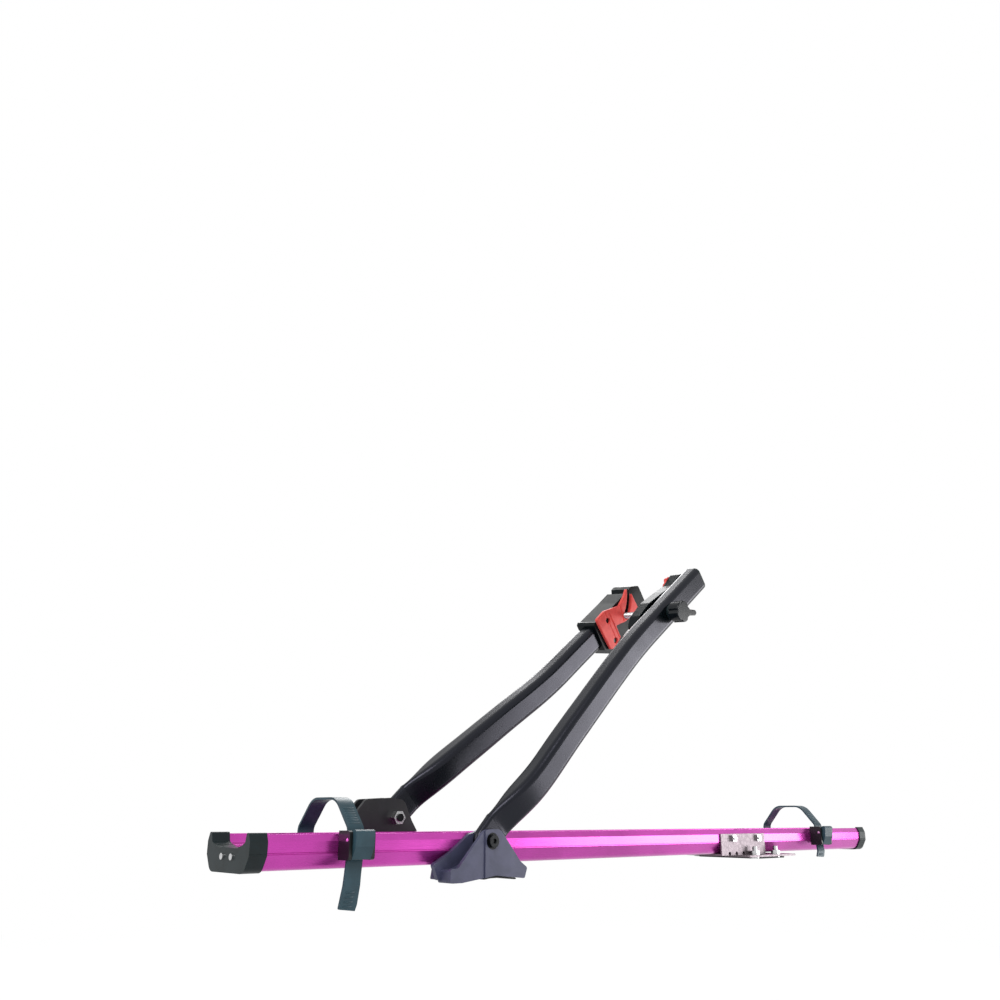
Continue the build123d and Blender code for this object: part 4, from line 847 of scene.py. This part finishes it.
@dataclass
class StrapSet:
    """One wheel strap with its buckle and anchor; its places are Y and Z in millimetres."""

    which: str
    tail_bottom: float
    edge: float = 0.5
    band_edge: float = 0.6
    band_angle: float = 40.0
    slope_foot: Pair = (-55.7, 65.0)
    slope_top: Pair = (-26.0, 99.2)
    slope_span: Pair = (7.0, 32.0)
    slope_pitch: float = 3.6
    slope_bar: Triple = (16.0, 2.2, 0.7)
    tail_top: float = 30.0
    tail_face: float = -59.7
    tail_pitch: float = 5.0
    tail_bar: Triple = (12.0, 2.4, 0.7)
    tail_lean: Pair = (-11.1, 11.5)

    def slope_bars(self, form: bmesh.types.BMesh, middle: float) -> None:
        """Add cross bars to the slope that runs down to the buckle.

        Args:
            form: the band's mesh.
            middle: X of the band's middle, in millimetres.
        """
        foot, top = Vector((middle, *self.slope_foot)), Vector((middle, *self.slope_top))
        way = (top - foot).normalized()
        out = LENGTHWISE.cross(way)
        at = self.slope_span[0]
        while at < self.slope_span[1]:
            add_bar(form, foot + way * at, LENGTHWISE, way, out, self.slope_bar)
            at += self.slope_pitch

    def tail_bars(self, form: bmesh.types.BMesh, middle: float) -> None:
        """Add cross bars to the lower half of the free tail, which leans to the front.

        Args:
            form: the band's mesh.
            middle: X of the band's middle, in millimetres.
        """
        height = self.tail_bottom + self.tail_pitch
        while height < (self.tail_top + self.tail_bottom) / 2 - self.tail_bar[1]:
            share = (height - self.tail_bottom) / (self.tail_top - self.tail_bottom)
            spot = Vector((middle + self.tail_lean[0] + self.tail_lean[1] * share, self.tail_face, height))
            add_bar(form, spot, LENGTHWISE, UPWARD, NEAR_SIDE, self.tail_bar)
            height += self.tail_pitch

    def band(self, material: bpy.types.Material) -> None:
        """Make the strap: soft-edged band, with cross bars over the buckle and on its tail.

        Args:
            material: its finish.
        """
        mesh = reshape(self.which + "_wheel_strap", [
            ("BEVEL", {"width": self.band_edge * MM, "segments": 3, "limit_method": "ANGLE",
                       "angle_limit": math.radians(self.band_angle)}),
        ])
        low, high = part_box(self.which + "_buckle_body")
        middle = (low[0] + high[0]) / 2 / MM
        form = bmesh.new()
        form.from_mesh(mesh)
        self.slope_bars(form, middle)
        self.tail_bars(form, middle)
        bmesh.ops.recalc_face_normals(form, faces=form.faces)
        form.to_mesh(mesh)
        form.free()
        new_piece(self.which + "_strap_band", mesh, material, "tray", self.which + "_wheel_strap")
        mesh.set_sharp_from_angle(angle=math.radians(self.band_angle))

    def dress(self, finishes: Palette) -> None:
        """Assign the strap's finishes and make its band.

        Args:
            finishes: the palette.
        """
        self.band(finishes.strap)
        body, anchor, lever = (self.which + end for end in ("_buckle_body", "_strap_anchor", "_buckle_lever"))
        paint(finishes.strap, [lever])
        paint(finishes.buckle, [body, anchor])
        paint(finishes.bolt, [self.which + "_lever_pin", self.which + "_anchor_pin"])
        soften([body, anchor, lever], self.edge)


@dataclass
class RearBracket:
    """The zinc-plated bracket that sits on the rear cross bar."""

    edge: float = 0.3

    def dress(self, finishes: Palette) -> None:
        """Assign the bracket's finishes.

        Args:
            finishes: the palette.
        """
        plates = ["rear_plate_near", "rear_plate_far", "rear_saddle_plate"]
        paint(finishes.zinc, plates)
        paint(finishes.bolt, ["rear_side_bolts", "rear_square_nuts", "rear_pad_bolts", "rear_pad_nuts"])
        SoftMoulding("rear_bar_pad", "rear_grip_rubber", "tray", "rubber", 0.9, 2).build(finishes.rubber)
        soften(plates, self.edge)


@dataclass(frozen=True)
class Softbox:
    """One square lamp, in metres and watts."""

    name: str
    place: Triple
    size: float
    power: float

    def hang(self, aim: Triple) -> None:
        """Put the lamp up.

        Args:
            aim: the point that it faces.
        """
        data = bpy.data.lights.new(self.name, "AREA")
        data.size = self.size
        data.energy = self.power
        lamp = bpy.data.objects.new(self.name, data)
        way = Vector(aim) - Vector(self.place)
        lamp.rotation_euler = way.to_track_quat("-Z", "Y").to_euler()
        lamp.location = self.place
        bpy.context.scene.collection.objects.link(lamp)


@dataclass
class Stage:
    """Floor, lamps, world and camera, in metres and degrees; lens and sensor are in millimetres."""

    camera_place: Triple = (-0.86062, -1.02162, 0.0785)
    yaw: float = 42.57
    pitch: float = 18.54
    roll: float = 0.21
    lens: float = 33.92
    sensor: float = 36.0
    clip: Pair = (0.01, 60.0)
    floor_drop: float = 0.30
    floor_size: float = 40.0
    # The floor turns from paper to plain white between these distances, so that it shows no far edge.
    fade_start: float = 1.5
    fade_end: float = 2.8
    lift: float = 0.55
    fibres_per_metre: float = 60.0
    paper_dullness: float = 0.9
    world_strength: float = 0.55
    aim: Triple = (0.25, 0.0, 0.15)
    softboxes: Tuple[Softbox, ...] = (
        Softbox("key_softbox", (-1.6, -1.9, 2.3), size=1.6, power=62.0),
        Softbox("fill_softbox", (-2.4, 0.6, 1.2), size=1.8, power=26.0),
        Softbox("rim_softbox", (1.8, 1.6, 1.9), size=1.4, power=40.0),
        # This one stands low on the near side, past the rear end, where the arms' near sides mirror it.
        Softbox("low_softbox", (2.1, -1.3, 0.05), size=1.0, power=26.0),
    )

    def camera(self) -> None:
        """Set the camera at the photograph's viewing angle."""
        data = bpy.data.cameras.new("camera")
        data.lens = self.lens
        data.sensor_width = self.sensor
        data.sensor_fit = "HORIZONTAL"
        data.clip_start, data.clip_end = self.clip
        camera = bpy.data.objects.new("camera", data)
        yaw, pitch, turn = (math.radians(angle) for angle in (self.yaw, self.pitch, self.roll))
        ahead = Vector((math.sin(yaw) * math.cos(pitch), math.cos(yaw) * math.cos(pitch), math.sin(pitch)))
        right = ahead.cross(UPWARD).normalized()
        up = right.cross(ahead)
        side = right * math.cos(turn) + up * math.sin(turn)
        top = up * math.cos(turn) - right * math.sin(turn)
        matrix = Matrix((side, top, -ahead)).transposed().to_4x4()
        matrix.translation = Vector(self.camera_place)
        camera.matrix_world = matrix
        bpy.context.scene.collection.objects.link(camera)
        bpy.context.scene.camera = camera

    def paper(self) -> bpy.types.Material:
        """Build the floor's material: pale paper that the camera sees as white.

        Returns:
            The material.
        """
        material = bpy.data.materials.new("studio_floor_paper")
        material.use_nodes = True
        tree = material.node_tree
        tree.nodes.clear()
        place = add(tree, "ShaderNodeTexCoord").outputs["Object"]
        fibre = add(tree, "ShaderNodeTexNoise", {"Scale": self.fibres_per_metre, "Detail": 4.0},
                    {"Vector": place})
        ramp = add(tree, "ShaderNodeValToRGB", links={"Fac": fibre.outputs["Fac"]})
        for stop, colour in zip(ramp.color_ramp.elements, ("F2F2F2", "F8F8F8")):
            stop.color = linear(colour)
        paper = add(tree, "ShaderNodeBsdfDiffuse", {"Roughness": self.paper_dullness},
                    {"Color": ramp.outputs["Color"]})
        away = add(tree, "ShaderNodeVectorMath", {"operation": "LENGTH"}, {0: place})
        fade = add(tree, "ShaderNodeMapRange", {
            "interpolation_type": "SMOOTHSTEP",
            "From Min": self.fade_start,
            "From Max": self.fade_end,
            "To Min": self.lift,
            "To Max": 1.0,
        }, {"Value": away.outputs["Value"]})
        share = add(tree, "ShaderNodeMath", {"operation": "MULTIPLY"},
                    {0: seen(tree), 1: fade.outputs["Result"]})
        white = add(tree, "ShaderNodeEmission", {"Color": linear("FFFFFF"), "Strength": 1.0})
        blend = add(tree, "ShaderNodeMixShader",
                    links={0: share.outputs[0], 1: paper.outputs[0], 2: white.outputs[0]})
        add(tree, "ShaderNodeOutputMaterial", links={"Surface": blend.outputs[0]})
        return material

    def floor(self) -> None:
        """Lay the floor under the object, which keeps the object's shadow."""
        mesh = bpy.data.meshes.new("floor")
        half = self.floor_size / 2
        low = BOX_AT_LOAD[0][2] - self.floor_drop
        corners = [(-half, -half, low), (half, -half, low), (half, half, low), (-half, half, low)]
        mesh.from_pydata(corners, [], [(0, 1, 2, 3)])
        mesh.materials.append(self.paper())
        floor = bpy.data.objects.new("floor", mesh)
        bpy.context.scene.collection.objects.link(floor)

    def world(self) -> None:
        """Light softly from all round, with white behind the object."""
        world = bpy.data.worlds.new("studio")
        world.use_nodes = True
        bpy.context.scene.world = world
        tree = world.node_tree
        tree.nodes.clear()
        soft = add(tree, "ShaderNodeBackground", {"Color": linear("F4F6FA"), "Strength": self.world_strength})
        white = add(tree, "ShaderNodeBackground", {"Color": linear("FFFFFF"), "Strength": 1.0})
        blend = add(tree, "ShaderNodeMixShader",
                    links={0: seen(tree), 1: soft.outputs[0], 2: white.outputs[0]})
        add(tree, "ShaderNodeOutputWorld", links={"Surface": blend.outputs[0]})

    def build(self) -> None:
        """Set up the whole stage."""
        self.camera()
        self.floor()
        self.world()
        for softbox in self.softboxes:
            softbox.hang(self.aim)
        bpy.context.scene.view_settings.view_transform = "Standard"


def main() -> None:
    """Build the stage and dress every sub-assembly in order."""
    logging.basicConfig(level=logging.INFO, format="%(name)s: %(message)s")
    Stage().build()
    finishes = mix_palette()
    straps = [StrapSet("front", tail_bottom=-24.0), StrapSet("rear", tail_bottom=9.0)]
    assemblies = [WheelTray(), FootAndMounts(), ClampArms(), ClampScrew(), *straps, RearBracket()]
    for assembly in assemblies:
        assembly.dress(finishes)
        LOG.info("%s done", type(assembly).__name__)


if __name__ == "__main__":
    main()
